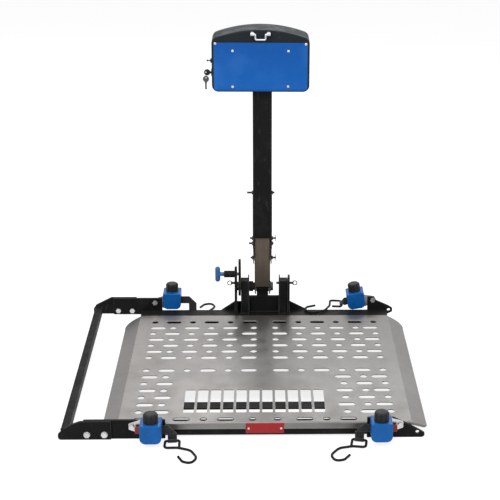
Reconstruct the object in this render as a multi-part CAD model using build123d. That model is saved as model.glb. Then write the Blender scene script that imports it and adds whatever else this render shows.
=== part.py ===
from build123d import *
import math
import os

# Platform lift for a mobility scooter, carried on a vehicle's hitch. It stands with
# its platform on the floor. Millimetres, +X right, +Y towards the vehicle, +Z up.
# The origin is on the floor, under the axis of the mast and of the fold pivot.

# Clearances
RUNNING = 0.05
GAP = 0.3

# Mast
INNER_SIZE = 50.0
INNER_WALL = 4.0
SIDE_PAD = 1.5
FACE_PAD = 1.0
OUTER_WALL = 3.0
OUTER_WIDTH = INNER_SIZE + 2 * (OUTER_WALL + SIDE_PAD)
OUTER_DEPTH = INNER_SIZE + 2 * (OUTER_WALL + FACE_PAD)
OUTER_BOTTOM = 219.0
OUTER_TOP = 800.0
NOTCH_TOP = 305.0
TUBE_CORNER = 4.0
INNER_TOP = 718.0
INNER_FRONT_END = 139.0
PAD_HEIGHT = 60.0
PAD_WIDTH = 34.0
PAD_LEVELS = (255.0, 448.6)
ADJUSTER_LEVELS = (229.7, 278.5, 296.0, 448.6)
ADJUSTER_LEFT_LENGTHS = (8.6, 13.2, 10.0, 18.8)
ADJUSTER_RIGHT_LENGTHS = (14.1, 6.0, 13.9, 8.8)
THUMB_LEVELS = (229.7, 296.0)
THUMB_HEIGHT = 19.0
ADJUSTER_RADIUS = 3.0
JAM_NUT = 4.0
JAM_NUT_FLATS = 11.0
THUMB_THICKNESS = 1.8
THUMB_HALF = 4.0

# Fold pivot
PIVOT_Z = 131.0
PIVOT_BOLT_RADIUS = 8.0
PIVOT_HEAD_FLATS = 24.0
PIVOT_HEAD = 6.2
PIVOT_WASHER = 3.0
BUSH_RADIUS = 11.0
HUB_RADIUS = 16.5
SLEEVE_RADIUS = 12.5
SLEEVE_BORE = 8.4
COLLAR_X = (-INNER_SIZE / 2 - 17.0, -INNER_SIZE / 2 - 5.0)
QUADRANT_X = (-77.0, -70.0)
QUADRANT_RADIUS = 88.0
QUADRANT_BOSS = 31.0
QUADRANT_FROM = -12.0
QUADRANT_TO = 97.0
LOCK_RADIUS = 42.0
NUT_LENGTH = 10.0

# Swing frame that stands on the rear rail, and the cheeks beside it
POST_Y = (-20.0, 10.0)
POST_TOP = 157.0
POST_WALL = 3.0
LEFT_POST_X = (-69.0, -46.5)
RIGHT_POST_X = (56.5, 80.8)
CROSS_THICKNESS = 8.0
CROSS_TOP = 98.0
TONGUE_WIDTH = INNER_SIZE - 2 * INNER_WALL - 5.0
TONGUE_THICKNESS = 12.0
LEFT_INNER_CHEEK = (-46.3, -42.5)
LEFT_OUTER_CHEEK = (-89.5, -81.5)
RIGHT_INNER_CHEEK = (52.5, 56.3)
RIGHT_OUTER_CHEEK = (81.3, 88.0)
CHEEK_TOP = 168.0
CHEEK_NUT_HOLE = 14.4
CHEEK_TAB_TOP = 197.0
CHEEK_TAB_WIDTH = 34.0
GUSSET_TOP = 72.0
GUSSET_BASE_X = (-130.5, 142.5)
GUSSET_TOP_X = (-90.5, 89.5)
PLATE = 6.0

# Spring plunger and ring pins
PLUNGER_RADIUS = 5.0
BARREL_RADIUS = 11.0
BARREL_BORE = 7.7
BARREL_END = -123.5
BARREL_CAP = 3.0
PLUNGER_COLLAR = 7.2
PLUNGER_COLLAR_X = (-97.0, -93.0)
SHANK_RADIUS = 6.5
HANDLE_X = (-152.0, -135.5)
HANDLE_Z = (147.0, 199.0)
SPRING_WIRE = 1.1
SPRING_RADIUS = 6.55
SPRING_TURNS = 5
RING_PIN_RADIUS = 4.0
RING_PIN_Y = -12.0
RING_PIN_Z = 147.0
RIGHT_PIN_X = (44.5, 100.5)
LEFT_PIN_X = (-42.0, -101.5)
RING_RADIUS = 7.0
RING_WIRE = 1.4

# Hitch
HITCH_SIZE = 50.8
HITCH_WALL = 6.0
HITCH_Z = 340.0
HITCH_END = 330.0
HITCH_PLATE = 8.0
HITCH_PLATE_Z = (250.0, 430.0)
HITCH_PIN_RADIUS = 8.1
HITCH_PIN_FROM_END = 64.0
HITCH_GUSSET_LENGTH = 110.0

# Head
HEAD_X = -4.8
HEAD_WIDTH = 294.6
HEAD_Y = (-50.0, 51.0)
HEAD_BOTTOM = 784.0
HEAD_TOP = 973.0
HEAD_ARC = 400.0
HEAD_CORNER_TOP = 20.0
HEAD_CORNER_BOTTOM = 20.0
HEAD_EDGE = 3.5
COVER_WALL = 3.0
PAN_THICKNESS = 3.0
BACK_THICKNESS = 2.5
HEAD_LEFT = HEAD_X - HEAD_WIDTH / 2
HEAD_RIGHT = HEAD_X + HEAD_WIDTH / 2
SIGN_INSET = 4.05
SIGN_X = (HEAD_LEFT + SIGN_INSET, HEAD_RIGHT - SIGN_INSET)
SIGN_Z = (HEAD_BOTTOM + 3.0, HEAD_TOP - 36.0)
SIGN_THICKNESS = 1.5
SIGN_CORNER = 17.0
SIGN_TOP_CORNER = 7.0
SIGN_SCREWS = ((SIGN_X[0] + 7.0, SIGN_Z[1] - 5.0), (SIGN_X[1] - 7.5, SIGN_Z[1] - 6.0))
SIGN_RIVETS = ((HEAD_X - 84.2, SIGN_Z[1] - 27.0), (HEAD_X + 83.4, SIGN_Z[1] - 27.0),
               (HEAD_X - 84.7, SIGN_Z[0] + 13.5), (HEAD_X + 82.8, SIGN_Z[0] + 14.5))
STUD_RADIUS = 1.6
BAIL_X = (-29.5, 19.0)
BAIL_DROP = 16.0
BAIL_Z = (HEAD_TOP - 12.0 - BAIL_DROP, HEAD_TOP - 12.0)
BAIL_WIRE = 3.0
BAIL_REACH = 9.0
EAR_WIDTH = 11.0
EAR_HEIGHT = 13.0

# Drive
SCREW_RADIUS = 10.0
SCREW_TOP = 838.0
SCREW_BOTTOM = 322.0
NUT_HEIGHT = 30.0
BLOCK_HEIGHT = 20.0
PULLEY_Z = (812.0, 830.0)
SCREW_PULLEY_RADIUS = 30.0
MOTOR_PULLEY_RADIUS = 10.0
BELT_THICKNESS = 2.4
MOTOR_X = 70.0
MOTOR_RADIUS = 30.0
MOTOR_Z = (838.0, 918.0)
MOTOR_SHAFT = 5.0
GEAR_TEETH = 60
PINION_TEETH = 20

# Switches
SWITCH_Y = -20.0
TOGGLE_Z = 874.0
TOGGLE_REACH = 16.3
TOGGLE_TIP = 2.8
TOGGLE_STEM = (2.6, 1.5)
TOGGLE_BORE = 3.6
KEY_Z = 837.6
KEY_REACH = 24.4
KEY_RING = 8.2
KEY_BOW = 9.5
KEY_HOLE = 4.0

# Deck sheet
DECK_X = 6.5
DECK_WIDTH = 796.0
SHEET = 3.0
DECK_TOP = 44.0
DECK_BACK = -38.0
DECK_FRONT = -770.0
LIP_BOTTOM = 24.5
WING_WIDTH = 43.5
WING_SLOPE = 15.0
WING_BACK = -45.0
WING_SWEEP = 82.0
WING_LIP = 9.0
WING_CORNER = 8.0
DECK_LEFT = DECK_X - DECK_WIDTH / 2
DECK_RIGHT = DECK_X + DECK_WIDTH / 2
ROUND_HOLE = 21.0
SLOT_LENGTH = 48.0
FIRST_COLUMN = 47.7
COLUMN_PITCH = 60.0
COLUMNS = 6
ROW_PITCH = 44.0
FIRST_ROW = -90.0
ROWS = 16
SHORT_ROWS = range(9, 15)
BLANK_ROW = 7
STAGGER = 13.7
WINDOWS = 11
WINDOW_WIDTH = 29.0
WINDOW_PITCH = 36.2
WINDOW_LENGTH = 141.0
WINDOW_X = -23.0
WINDOW_Y = -640.0

# Rails under the deck
REAR_RAIL_DEPTH = 50.0
REAR_TUBE_DEPTH = 26.0
FRONT_RAIL_DEPTH = 25.0
FRONT_RAIL_Z = (4.0, 41.0)
FRONT_RAIL_INSET = 1.0
RAIL_WALL = 3.0
SIDE_RAIL = 25.0
SPINE_WIDTH = 40.0
WINDOW_BAR_WIDTH = 37.0
WINDOW_BAR_OVERHANG = 6.0
WINDOW_BAR_Y = -660.0
FLAT_BAR = 5.0
REFLECTOR_X = (-46.0, 58.0)
REFLECTOR_Z = (12.4, 42.8)
REFLECTOR_THICKNESS = 3.0
REFLECTOR_RIVET_INSET = 8.0
RAIL_CORNER = 3.5

# Corner plates and side loop
REAR_PLATE_Z = (28.0, 84.0)
FRONT_PLATE_TOP = 56.0
PLATE_LEFT = DECK_LEFT - 92.0
REAR_PLATE_END = DECK_LEFT + 66.0
FRONT_PLATE_END = DECK_LEFT + 128.5
EAR_HOLE = 5.2
LOOP_X = (DECK_LEFT - 151.0, DECK_LEFT - 129.0)
LOOP_WALL = 2.5
LOOP_REAR_Z = 41.0
LOOP_FRONT_Z = 23.0
ARM_END = DECK_LEFT - 17.0
LOOP_BOLT_RADIUS = 5.0
LOOP_BOLT_NUT = 6.0
LOOP_BOLT_FLATS = 15.0
BOLT_HEAD = 5.5
REAR_LOOP_BOLTS = ((DECK_LEFT - 76.0, 42.0), (DECK_LEFT - 31.0, 42.0))
FRONT_LOOP_BOLTS = ((DECK_LEFT - 82.0, 16.0), (DECK_LEFT - 35.0, 16.0))
EAR_BOLTS = ((DECK_RIGHT + 8.0, 42.0), (DECK_RIGHT + 16.0, 16.0))

# Tie-down retractors
COVER_WIDTH = 58.0
COVER_DEPTH = 57.0
COVER_HEIGHT = 54.0
COVER_CORNER = 16.0
COVER_SKIN = 2.0
COVER_EDGE = 2.5
BASE_THICKNESS = 3.0
BASE_BOTTOM = 5.0
BASE_TOP = 46.0
BASE_X = (-29.0, 24.0)
SPOOL_Y = 30.0
SPOOL_SHAFT = 5.0
WOUND_RADIUS = 9.0
RATCHET_RADIUS = 12.0
RATCHET_TEETH = 12
KNOB_RADIUS = 20.0
KNOB_HEIGHT = 26.0
KNOB_NECK = 8.0
KNOB_FLUTES = 9
STRAP_WIDTH = 25.0
STRAP_THICKNESS = 1.6
STRAP_Z = 12.5
TIE_BOLT_X = -54.0
TIE_BOLT_Z = 26.0
TIE_BOLT_RADIUS = 4.0
TIE_BOLT_FLATS = 13.0
LEVER_PIN_X = -14.0
LEVER_PIN_Y = 9.5
LEVER_PIN_RADIUS = 2.0
LEVER_THICKNESS = 3.0
LEVER_Z = 9.3
LEVER_TAB_X = (-45.0, -31.0)
LEVER_TAB_HEIGHT = 20.0

# Hooks
HOOK_WIRE = 3.5
HOOK_LOW = 0.2
HOOK_POINTS = ((-17.0, -30.5), (-19.5, 0.0), (19.0, 0.0), (23.0, -35.5), (-12.0, -38.0),
               (-46.0, -56.0), (-61.0, -98.0), (-42.0, -124.0), (-21.0, -112.0), (-11.5, -85.7))
HOOK_RADII = (6.0, 6.0, 9.0, 30.0, 30.0, 28.0, 14.0, 12.0)
HOOK_REACH = 120.0
HOOK_SHANK = 60.0

PLUNGER_Z = PIVOT_Z + LOCK_RADIUS
REAR_RAIL_BACK = DECK_BACK + REAR_RAIL_DEPTH
REAR_RAIL_FRONT = REAR_RAIL_BACK - REAR_TUBE_DEPTH
REAR_PLATE_BACK = REAR_RAIL_BACK + PLATE
FRONT_PLATE_FACE = DECK_FRONT - PLATE
UNDER_DECK = DECK_TOP - SHEET
SIDE_RAIL_X = DECK_WIDTH / 2 - SIDE_RAIL / 2
STRAP_Y = SPOOL_Y - WOUND_RADIUS - GAP - STRAP_THICKNESS / 2
EYE_BORE = HOOK_WIRE + GAP
EYE_OUTER = EYE_BORE + STRAP_THICKNESS


class Corner:
    """One tie-down: where it stands, which way it faces and how its hook lies."""

    def __init__(self, x, y, z, inward, outward, tilt, bar, yaw, lean=0.0):
        self.x = x
        self.y = y
        self.z = z
        self.inward = inward
        self.outward = outward
        self.tilt = tilt
        self.bar = bar
        self.yaw = yaw
        self.lean = lean

    def place(self, shape):
        """Turn a piece made for the left rear corner into this corner."""
        if self.inward < 0:
            shape = mirror(shape, Plane.YZ)
        if self.outward < 0:
            shape = mirror(shape, Plane.XZ)
        return Pos(self.x, self.y, self.z) * Rot(0, self.tilt, 0) * shape

    def hook_place(self):
        """Place of the hook's bar: on the rail it leans back, on the floor it lies level."""
        return Pos(*self.bar) * Rot(self.lean, 0, 0) * Rot(0, 0, self.yaw)


FRONT_STRAP_Y = FRONT_PLATE_FACE - STRAP_Y
REAR_STRAP_Y = REAR_PLATE_BACK + STRAP_Y
BAR_Z = EYE_OUTER + HOOK_LOW
RAIL_LEAN = 6.0
RAIL_BAR_Z = DECK_TOP + HOOK_WIRE + HOOK_LOW + HOOK_SHANK * math.sin(math.radians(RAIL_LEAN))
FRONT_BAR_Y = FRONT_STRAP_Y - EYE_BORE
REAR_BAR_Y = REAR_STRAP_Y + EYE_BORE
CORNERS = {
    "front_left": Corner(DECK_LEFT + 92.5, FRONT_PLATE_FACE, 12, 1, -1, 0,
                         (DECK_LEFT + 148.5, FRONT_BAR_Y, BAR_Z), 6.0),
    "front_right": Corner(DECK_RIGHT - 85.5, FRONT_PLATE_FACE, 14, -1, -1, 0,
                          (DECK_RIGHT - 143.0, FRONT_BAR_Y, BAR_Z), -13.7),
    "rear_left": Corner(DECK_LEFT + 97.0, REAR_PLATE_BACK, 43, 1, 1, 0, (DECK_LEFT + 163.5, REAR_BAR_Y, BAR_Z), -6.0),
    "rear_right": Corner(DECK_RIGHT - 94.5, REAR_PLATE_BACK, 43, -1, 1, -9,
                         (DECK_RIGHT - 146.5, 35.0, RAIL_BAR_Z), -90.0, RAIL_LEAN),
}


def block(x, y, z):
    """Block between the low and the high value of each pair."""
    pairs = [sorted(pair) for pair in (x, y, z)]
    centre = [(low + high) / 2 for low, high in pairs]
    size = [high - low for low, high in pairs]
    return Pos(*centre) * Box(*size)


def rod_x(x, y, z, radius):
    return Pos((x[0] + x[1]) / 2, y, z) * Rot(0, 90, 0) * Cylinder(radius, abs(x[1] - x[0]))


def rod_y(x, y, z, radius):
    return Pos(x, (y[0] + y[1]) / 2, z) * Rot(90, 0, 0) * Cylinder(radius, abs(y[1] - y[0]))


def rod_z(x, y, z, radius):
    return Pos(x, y, (z[0] + z[1]) / 2) * Cylinder(radius, abs(z[1] - z[0]))


def outline(points, radii=0):
    """Closed face with straight sides, its corners rounded by one radius or by a list."""
    if radii == 0:
        return make_face(Polyline(*points, close=True))
    return make_face(FilletPolyline(*points, radius=radii, close=True))


def across_x(face, x):
    """Extrude a face whose points are Y and Z."""
    plane = Plane(origin=(min(x), 0, 0), x_dir=(0, 1, 0), z_dir=(1, 0, 0))
    return extrude(plane * face, abs(x[1] - x[0]))


def across_y(face, y):
    """Extrude a face whose points are X and Z."""
    plane = Plane(origin=(0, max(y), 0), x_dir=(1, 0, 0), z_dir=(0, -1, 0))
    return extrude(plane * face, abs(y[1] - y[0]))


def across_z(face, z):
    """Extrude a face whose points are X and Y."""
    return extrude(Pos(0, 0, min(z)) * face, abs(z[1] - z[0]))


def rectangle_points(x, z):
    return [(x[0], z[0]), (x[1], z[0]), (x[1], z[1]), (x[0], z[1])]


def hexagon_x(x, y, z, flats):
    """Hexagon head or nut whose axis lies along X."""
    return across_x(Pos(y, z) * RegularPolygon(flats / 2, 6, major_radius=False), x)


def hexagon_y(x, y, z, flats):
    """Hexagon head or nut whose axis lies along Y."""
    return across_y(Pos(x, z) * RegularPolygon(flats / 2, 6, major_radius=False), y)


def square_tube(width, depth, wall, corner, z):
    """Upright rectangular tube with rounded corners."""
    outside = RectangleRounded(width, depth, corner)
    inside = RectangleRounded(width - 2 * wall, depth - 2 * wall, max(corner - wall, 0.5))
    return across_z(outside - inside, z)


def solid_list(shapes):
    return Compound(children=[solid for shape in shapes for solid in shape.solids()])


# Mast

def make_outer_mast():
    tube = square_tube(OUTER_WIDTH, OUTER_DEPTH, OUTER_WALL, TUBE_CORNER, (OUTER_BOTTOM, OUTER_TOP))
    half_x = OUTER_WIDTH / 2 - OUTER_WALL
    half_y = OUTER_DEPTH / 2
    notch = block((-half_x, half_x), (-half_y - 1, -half_y + OUTER_WALL + 1), (OUTER_BOTTOM - 1, NOTCH_TOP))
    tube -= notch
    for level in ADJUSTER_LEVELS:
        tube -= rod_x((-OUTER_WIDTH, OUTER_WIDTH), 0, level, ADJUSTER_RADIUS)
    return tube


def make_inner_mast():
    half = INNER_SIZE / 2
    bottom = PIVOT_Z - half
    tube = square_tube(INNER_SIZE, INNER_SIZE, INNER_WALL, TUBE_CORNER, (bottom, INNER_TOP))
    inside = half - INNER_WALL
    tube -= block((-inside, inside), (-half - 1, -inside + 1), (bottom - 1, INNER_FRONT_END))
    foot = block((-half - 1, half + 1), (-half - 1, half + 1), (bottom - 1, PIVOT_Z))
    foot -= rod_x((-half - 2, half + 2), 0, PIVOT_Z, half)
    tube -= foot
    tube -= rod_x((-half - 1, half + 1), 0, PIVOT_Z, BUSH_RADIUS)
    return tube


def make_pivot_bushes():
    half = INNER_SIZE / 2
    shapes = []
    for side in (-1, 1):
        x = (side * (half - INNER_WALL), side * half)
        shapes.append(rod_x(x, 0, PIVOT_Z, BUSH_RADIUS) - rod_x(x, 0, PIVOT_Z, PIVOT_BOLT_RADIUS + RUNNING))
    return solid_list(shapes)


def make_pivot_sleeve():
    start = QUADRANT_X[1]
    sleeve = rod_x((start, -INNER_SIZE / 2), 0, PIVOT_Z, SLEEVE_RADIUS)
    sleeve += rod_x(COLLAR_X, 0, PIVOT_Z, HUB_RADIUS)
    return sleeve - rod_x((start - 1, 0), 0, PIVOT_Z, SLEEVE_BORE)


def on_circle(radius, degrees):
    return (radius * math.cos(math.radians(degrees)), radius * math.sin(math.radians(degrees)))


def make_lock_quadrant():
    first = on_circle(QUADRANT_RADIUS, QUADRANT_FROM)
    middle = on_circle(QUADRANT_RADIUS, (QUADRANT_FROM + QUADRANT_TO) / 2)
    last = on_circle(QUADRANT_RADIUS, QUADRANT_TO)
    blade = make_face([ThreePointArc(first, middle, last), Line(last, (0, 0)), Line((0, 0), first)])
    boss = Circle(QUADRANT_BOSS)
    pin_radius = math.hypot(RING_PIN_Y, RING_PIN_Z - PIVOT_Z)
    pin_angle = math.degrees(math.atan2(RING_PIN_Z - PIVOT_Z, RING_PIN_Y))
    slot_half = RING_PIN_RADIUS + 1.0
    slot = SlotArc(CenterArc((0, 0), pin_radius, pin_angle - 90, 90), 2 * slot_half)
    lock = Circle(PLUNGER_RADIUS + GAP)
    face = blade + boss - Circle(SLEEVE_BORE) - slot - Pos(LOCK_RADIUS, 0) * lock
    return Pos(0, 0, PIVOT_Z) * across_x(face, QUADRANT_X)


def make_wear_pads():
    shapes = []
    for level in PAD_LEVELS:
        z = (level - PAD_HEIGHT / 2, level + PAD_HEIGHT / 2)
        width = (-PAD_WIDTH / 2, PAD_WIDTH / 2)
        for side in (-1, 1):
            inner = side * (INNER_SIZE / 2 + GAP)
            shapes.append(block((inner, inner + side * (SIDE_PAD - GAP)), width, z))
            if side > 0 or level > NOTCH_TOP:
                shapes.append(block(width, (inner, inner + side * (FACE_PAD - GAP)), z))
    return solid_list(shapes)


def make_adjuster_screws():
    """Set screws with jam nuts on the left, thumb screws on the right."""
    shapes = []
    wall_in = OUTER_WIDTH / 2 - OUTER_WALL
    wall_out = OUTER_WIDTH / 2
    for level, left, right in zip(ADJUSTER_LEVELS, ADJUSTER_LEFT_LENGTHS, ADJUSTER_RIGHT_LENGTHS):
        for side, length in ((-1, left), (1, right)):
            screw = rod_x((side * wall_in, side * (wall_out + length)), 0, level, ADJUSTER_RADIUS)
            screw += hexagon_x((side * wall_out, side * (wall_out + JAM_NUT)), 0, level, JAM_NUT_FLATS)
            if side > 0 and level in THUMB_LEVELS:
                tip = wall_out + length
                wing_z = (level - THUMB_HEIGHT / 2, level + THUMB_HEIGHT / 2)
                screw += block((tip - THUMB_THICKNESS, tip), (-THUMB_HALF, THUMB_HALF), wing_z)
            shapes.append(screw)
    return solid_list(shapes)


# Hitch

def make_hitch_bracket():
    half = OUTER_WIDTH / 2 - 0.5
    front = OUTER_DEPTH / 2
    back = front + HITCH_PLATE
    plate = block((-half, half), (front, back), HITCH_PLATE_Z)
    tube_bottom = HITCH_Z - HITCH_SIZE / 2
    gusset = outline([(back, HITCH_PLATE_Z[0] + 6), (back, tube_bottom), (back + HITCH_GUSSET_LENGTH, tube_bottom)])
    return plate + across_x(gusset, (-4, 4))


def make_hitch_tube():
    front = OUTER_DEPTH / 2 + HITCH_PLATE
    outside = RectangleRounded(HITCH_SIZE, HITCH_SIZE, TUBE_CORNER)
    bore = HITCH_SIZE - 2 * HITCH_WALL
    inside = RectangleRounded(bore, bore, 1)
    tube = across_y(Pos(0, HITCH_Z) * (outside - inside), (front, HITCH_END))
    pin_y = HITCH_END - HITCH_PIN_FROM_END
    return tube - rod_x((-HITCH_SIZE, HITCH_SIZE), pin_y, HITCH_Z, HITCH_PIN_RADIUS)


# Head

def head_face(inset=0.0):
    """Arched outline of the head, with its points in X and Z."""
    half = HEAD_WIDTH / 2 - inset
    top = HEAD_TOP - inset
    arc = HEAD_ARC - inset
    bottom = HEAD_BOTTOM + inset
    shoulder = top - arc + math.sqrt(arc ** 2 - half ** 2)
    crown = ThreePointArc((-half, shoulder), (0, top), (half, shoulder))
    sides = Polyline((half, shoulder), (half, bottom), (-half, bottom), (-half, shoulder))
    face = make_face([crown, sides])
    corners = face.vertices().sort_by(Axis.Y)
    face = fillet(corners[2:], HEAD_CORNER_TOP - inset)
    corners = face.vertices().sort_by(Axis.Y)
    face = fillet(corners[:2], HEAD_CORNER_BOTTOM - inset)
    return Pos(HEAD_X, 0) * face


def pan_x(clearance):
    half = HEAD_WIDTH / 2 - HEAD_CORNER_BOTTOM - clearance
    return (HEAD_X - half, HEAD_X + half)


def make_head_cover():
    back = HEAD_Y[1] - BACK_THICKNESS
    shell = across_y(head_face(), (HEAD_Y[0], back))
    front_edges = shell.faces().sort_by(Axis.Y)[0].outer_wire().edges()
    shell = fillet(front_edges, HEAD_EDGE)
    shell -= across_y(head_face(COVER_WALL), (HEAD_Y[0] + COVER_WALL, back + 1))
    floor_z = (HEAD_BOTTOM - 1, HEAD_BOTTOM + COVER_WALL + 1)
    shell -= block(pan_x(0), (HEAD_Y[0] + COVER_WALL, back + 1), floor_z)
    for x, z in SIGN_SCREWS + SIGN_RIVETS:
        shell -= rod_y(x, (HEAD_Y[0] - 1, HEAD_Y[0] + COVER_WALL + 1), z, STUD_RADIUS)
    for z, radius in ((TOGGLE_Z, 6.0), (KEY_Z, 9.0)):
        shell -= rod_x((HEAD_LEFT - 1, HEAD_LEFT + COVER_WALL + 1), SWITCH_Y, z, radius)
    return shell


def make_head_chassis():
    pan = block(pan_x(GAP), (HEAD_Y[0] + COVER_WALL + GAP, HEAD_Y[1] - BACK_THICKNESS),
                (HEAD_BOTTOM, HEAD_BOTTOM + PAN_THICKNESS))
    pan -= block((-OUTER_WIDTH / 2, OUTER_WIDTH / 2), (-OUTER_DEPTH / 2, OUTER_DEPTH / 2),
                 (HEAD_BOTTOM - 1, OUTER_TOP))
    back = across_y(head_face(), (HEAD_Y[1] - BACK_THICKNESS, HEAD_Y[1]))
    shelf_z = (MOTOR_Z[0] - 4, MOTOR_Z[0])
    shelf = block((MOTOR_X - 40, MOTOR_X + 40), (-34, HEAD_Y[1] - BACK_THICKNESS), shelf_z)
    shelf -= rod_z(MOTOR_X, 0, shelf_z, MOTOR_SHAFT + 3)
    post = block((MOTOR_X + 34, MOTOR_X + 40), (-34, HEAD_Y[1] - BACK_THICKNESS), (HEAD_BOTTOM, shelf_z[0]))
    cheek = block((OUTER_WIDTH / 2, OUTER_WIDTH / 2 + 4), (-24, 24), (HEAD_BOTTOM, OUTER_TOP))
    return pan + back + shelf + post + cheek + mirror(cheek, Plane.YZ)


def make_sign_plate():
    points = rectangle_points(SIGN_X, SIGN_Z)
    face = outline(points, (SIGN_CORNER, SIGN_CORNER, SIGN_TOP_CORNER, SIGN_TOP_CORNER))
    plate = across_y(face, (HEAD_Y[0] - SIGN_THICKNESS, HEAD_Y[0]))
    for x, z in SIGN_SCREWS + SIGN_RIVETS:
        plate -= rod_y(x, (HEAD_Y[0] - SIGN_THICKNESS - 1, HEAD_Y[0] + 1), z, STUD_RADIUS)
    return plate


def make_sign_fasteners():
    shapes = []
    face = HEAD_Y[0] - SIGN_THICKNESS
    for points, head_radius, head_height in ((SIGN_SCREWS, 4.2, 2.2), (SIGN_RIVETS, 4.0, 1.6)):
        for x, z in points:
            stud = rod_y(x, (face, HEAD_Y[0] + COVER_WALL + 1), z, STUD_RADIUS)
            head = rod_y(x, (face - head_height, face), z, head_radius)
            head = fillet(head.edges().group_by(Axis.Y)[0], head_height * 0.7)
            shapes.append(stud + head)
    return solid_list(shapes)


def make_cover_screws():
    """Screws that hold the cover to the back plate, from behind."""
    shapes = []
    half = HEAD_WIDTH / 2 - 9
    for x in (HEAD_X - half, HEAD_X + half):
        for z in (HEAD_BOTTOM + 30, HEAD_BOTTOM + 130):
            shapes.append(rod_y(x, (HEAD_Y[1], HEAD_Y[1] + 2.2), z, 4))
    return solid_list(shapes)


def make_bail_ears():
    shapes = []
    for x in BAIL_X:
        z = (BAIL_Z[1] - EAR_HEIGHT / 2, BAIL_Z[1] + EAR_HEIGHT / 2)
        ear = across_y(outline(rectangle_points((x - EAR_WIDTH / 2, x + EAR_WIDTH / 2), z), 4),
                       (HEAD_Y[0] - 2, HEAD_Y[0]))
        knuckle = rod_x((x - EAR_WIDTH / 2, x + EAR_WIDTH / 2), HEAD_Y[0] - BAIL_REACH, BAIL_Z[1], BAIL_WIRE + 2.2)
        bridge = block((x - EAR_WIDTH / 2, x + EAR_WIDTH / 2), (HEAD_Y[0] - BAIL_REACH, HEAD_Y[0] - 1),
                       (BAIL_Z[1] - BAIL_WIRE, BAIL_Z[1] + BAIL_WIRE))
        ear += knuckle + bridge
        ear -= rod_x((x - EAR_WIDTH, x + EAR_WIDTH), HEAD_Y[0] - BAIL_REACH, BAIL_Z[1], BAIL_WIRE + RUNNING)
        shapes.append(ear)
    return solid_list(shapes)


def wire(points, radii, radius):
    """Round wire bent along straight runs joined by arcs."""
    path = FilletPolyline(*points, radius=radii)
    section = Plane(origin=path @ 0, z_dir=path % 0) * Circle(radius)
    return sweep(section, path=path)


def make_bail_handle():
    y = HEAD_Y[0] - BAIL_REACH
    low = BAIL_Z[0]
    high = BAIL_Z[1]
    reach = EAR_WIDTH / 2 + 3.5
    left = BAIL_X[0] - EAR_WIDTH / 2 + 1
    right = BAIL_X[1] + EAR_WIDTH / 2 - 1
    inner_left = BAIL_X[0] + reach
    inner_right = BAIL_X[1] - reach
    points = [(left, y, high), (inner_left, y, high), (inner_left, y, low), (inner_right, y, low),
              (inner_right, y, high), (right, y, high)]
    return wire(points, (BAIL_WIRE, 5, 5, BAIL_WIRE), BAIL_WIRE)


# Drive in the head

def make_screw_bearing():
    side = OUTER_WIDTH / 2 - OUTER_WALL
    depth = OUTER_DEPTH / 2 - OUTER_WALL
    z = (OUTER_TOP - BLOCK_HEIGHT, OUTER_TOP)
    face = RectangleRounded(2 * side, 2 * depth, 1) - Circle(SCREW_RADIUS + RUNNING)
    bearing = across_z(face, z)
    flange = across_z(Circle(38) - Circle(SCREW_RADIUS + RUNNING), (OUTER_TOP, OUTER_TOP + 4))
    return bearing + flange


def make_lift_screw():
    screw = rod_z(0, 0, (SCREW_BOTTOM, SCREW_TOP), SCREW_RADIUS)
    collar = rod_z(0, 0, (OUTER_TOP + 4 + GAP, PULLEY_Z[0]), SCREW_RADIUS + 5)
    return screw + collar + toothed_pulley(SCREW_PULLEY_RADIUS, GEAR_TEETH)


def toothed_pulley(radius, teeth):
    """Timing pulley on the Z axis with a flange above and below the teeth."""
    low, high = PULLEY_Z
    pulley = rod_z(0, 0, PULLEY_Z, radius)
    for z in ((low, low + 1.5), (high - 1.5, high)):
        pulley += rod_z(0, 0, z, radius + 2.5)
    groove = rod_z(radius + 0.2, 0, (low + 1.5, high - 1.5), 0.9)
    for tooth in range(teeth):
        pulley -= Rot(0, 0, tooth * 360 / teeth) * groove
    return pulley


def make_motor_pulley():
    shaft = rod_z(0, 0, (PULLEY_Z[0], MOTOR_Z[0] + 12), MOTOR_SHAFT)
    return Pos(MOTOR_X, 0, 0) * (toothed_pulley(MOTOR_PULLEY_RADIUS, PINION_TEETH) + shaft)


def belt_face(grow):
    """Outline round both pulleys, larger than their pitch circles by grow."""
    big = SCREW_PULLEY_RADIUS + grow
    small = MOTOR_PULLEY_RADIUS + grow
    lean = math.degrees(math.acos((big - small) / MOTOR_X))
    hull_points = []
    for centre, radius in ((0, big), (MOTOR_X, small)):
        point = on_circle(radius, lean)
        hull_points.append((centre + point[0], point[1]))
    mirrored = [(x, -y) for x, y in hull_points]
    sides = outline([hull_points[0], hull_points[1], mirrored[1], mirrored[0]])
    return sides + Circle(big) + Pos(MOTOR_X, 0) * Circle(small)


def make_drive_belt():
    z = (PULLEY_Z[0] + 1.5 + GAP, PULLEY_Z[1] - 1.5 - GAP)
    return across_z(belt_face(GAP + BELT_THICKNESS) - belt_face(GAP), z)


def make_lift_motor():
    body = rod_z(MOTOR_X, 0, MOTOR_Z, MOTOR_RADIUS)
    body = fillet(body.edges().group_by(Axis.Z)[-1], 5)
    body -= rod_z(MOTOR_X, 0, (MOTOR_Z[0] - 1, MOTOR_Z[0] + 14), MOTOR_SHAFT + RUNNING)
    return body


def make_drive_nut():
    side = INNER_SIZE - 2 * INNER_WALL
    face = RectangleRounded(side, side, 1) - Circle(SCREW_RADIUS + RUNNING)
    return across_z(face, (INNER_TOP - NUT_HEIGHT, INNER_TOP))


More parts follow.
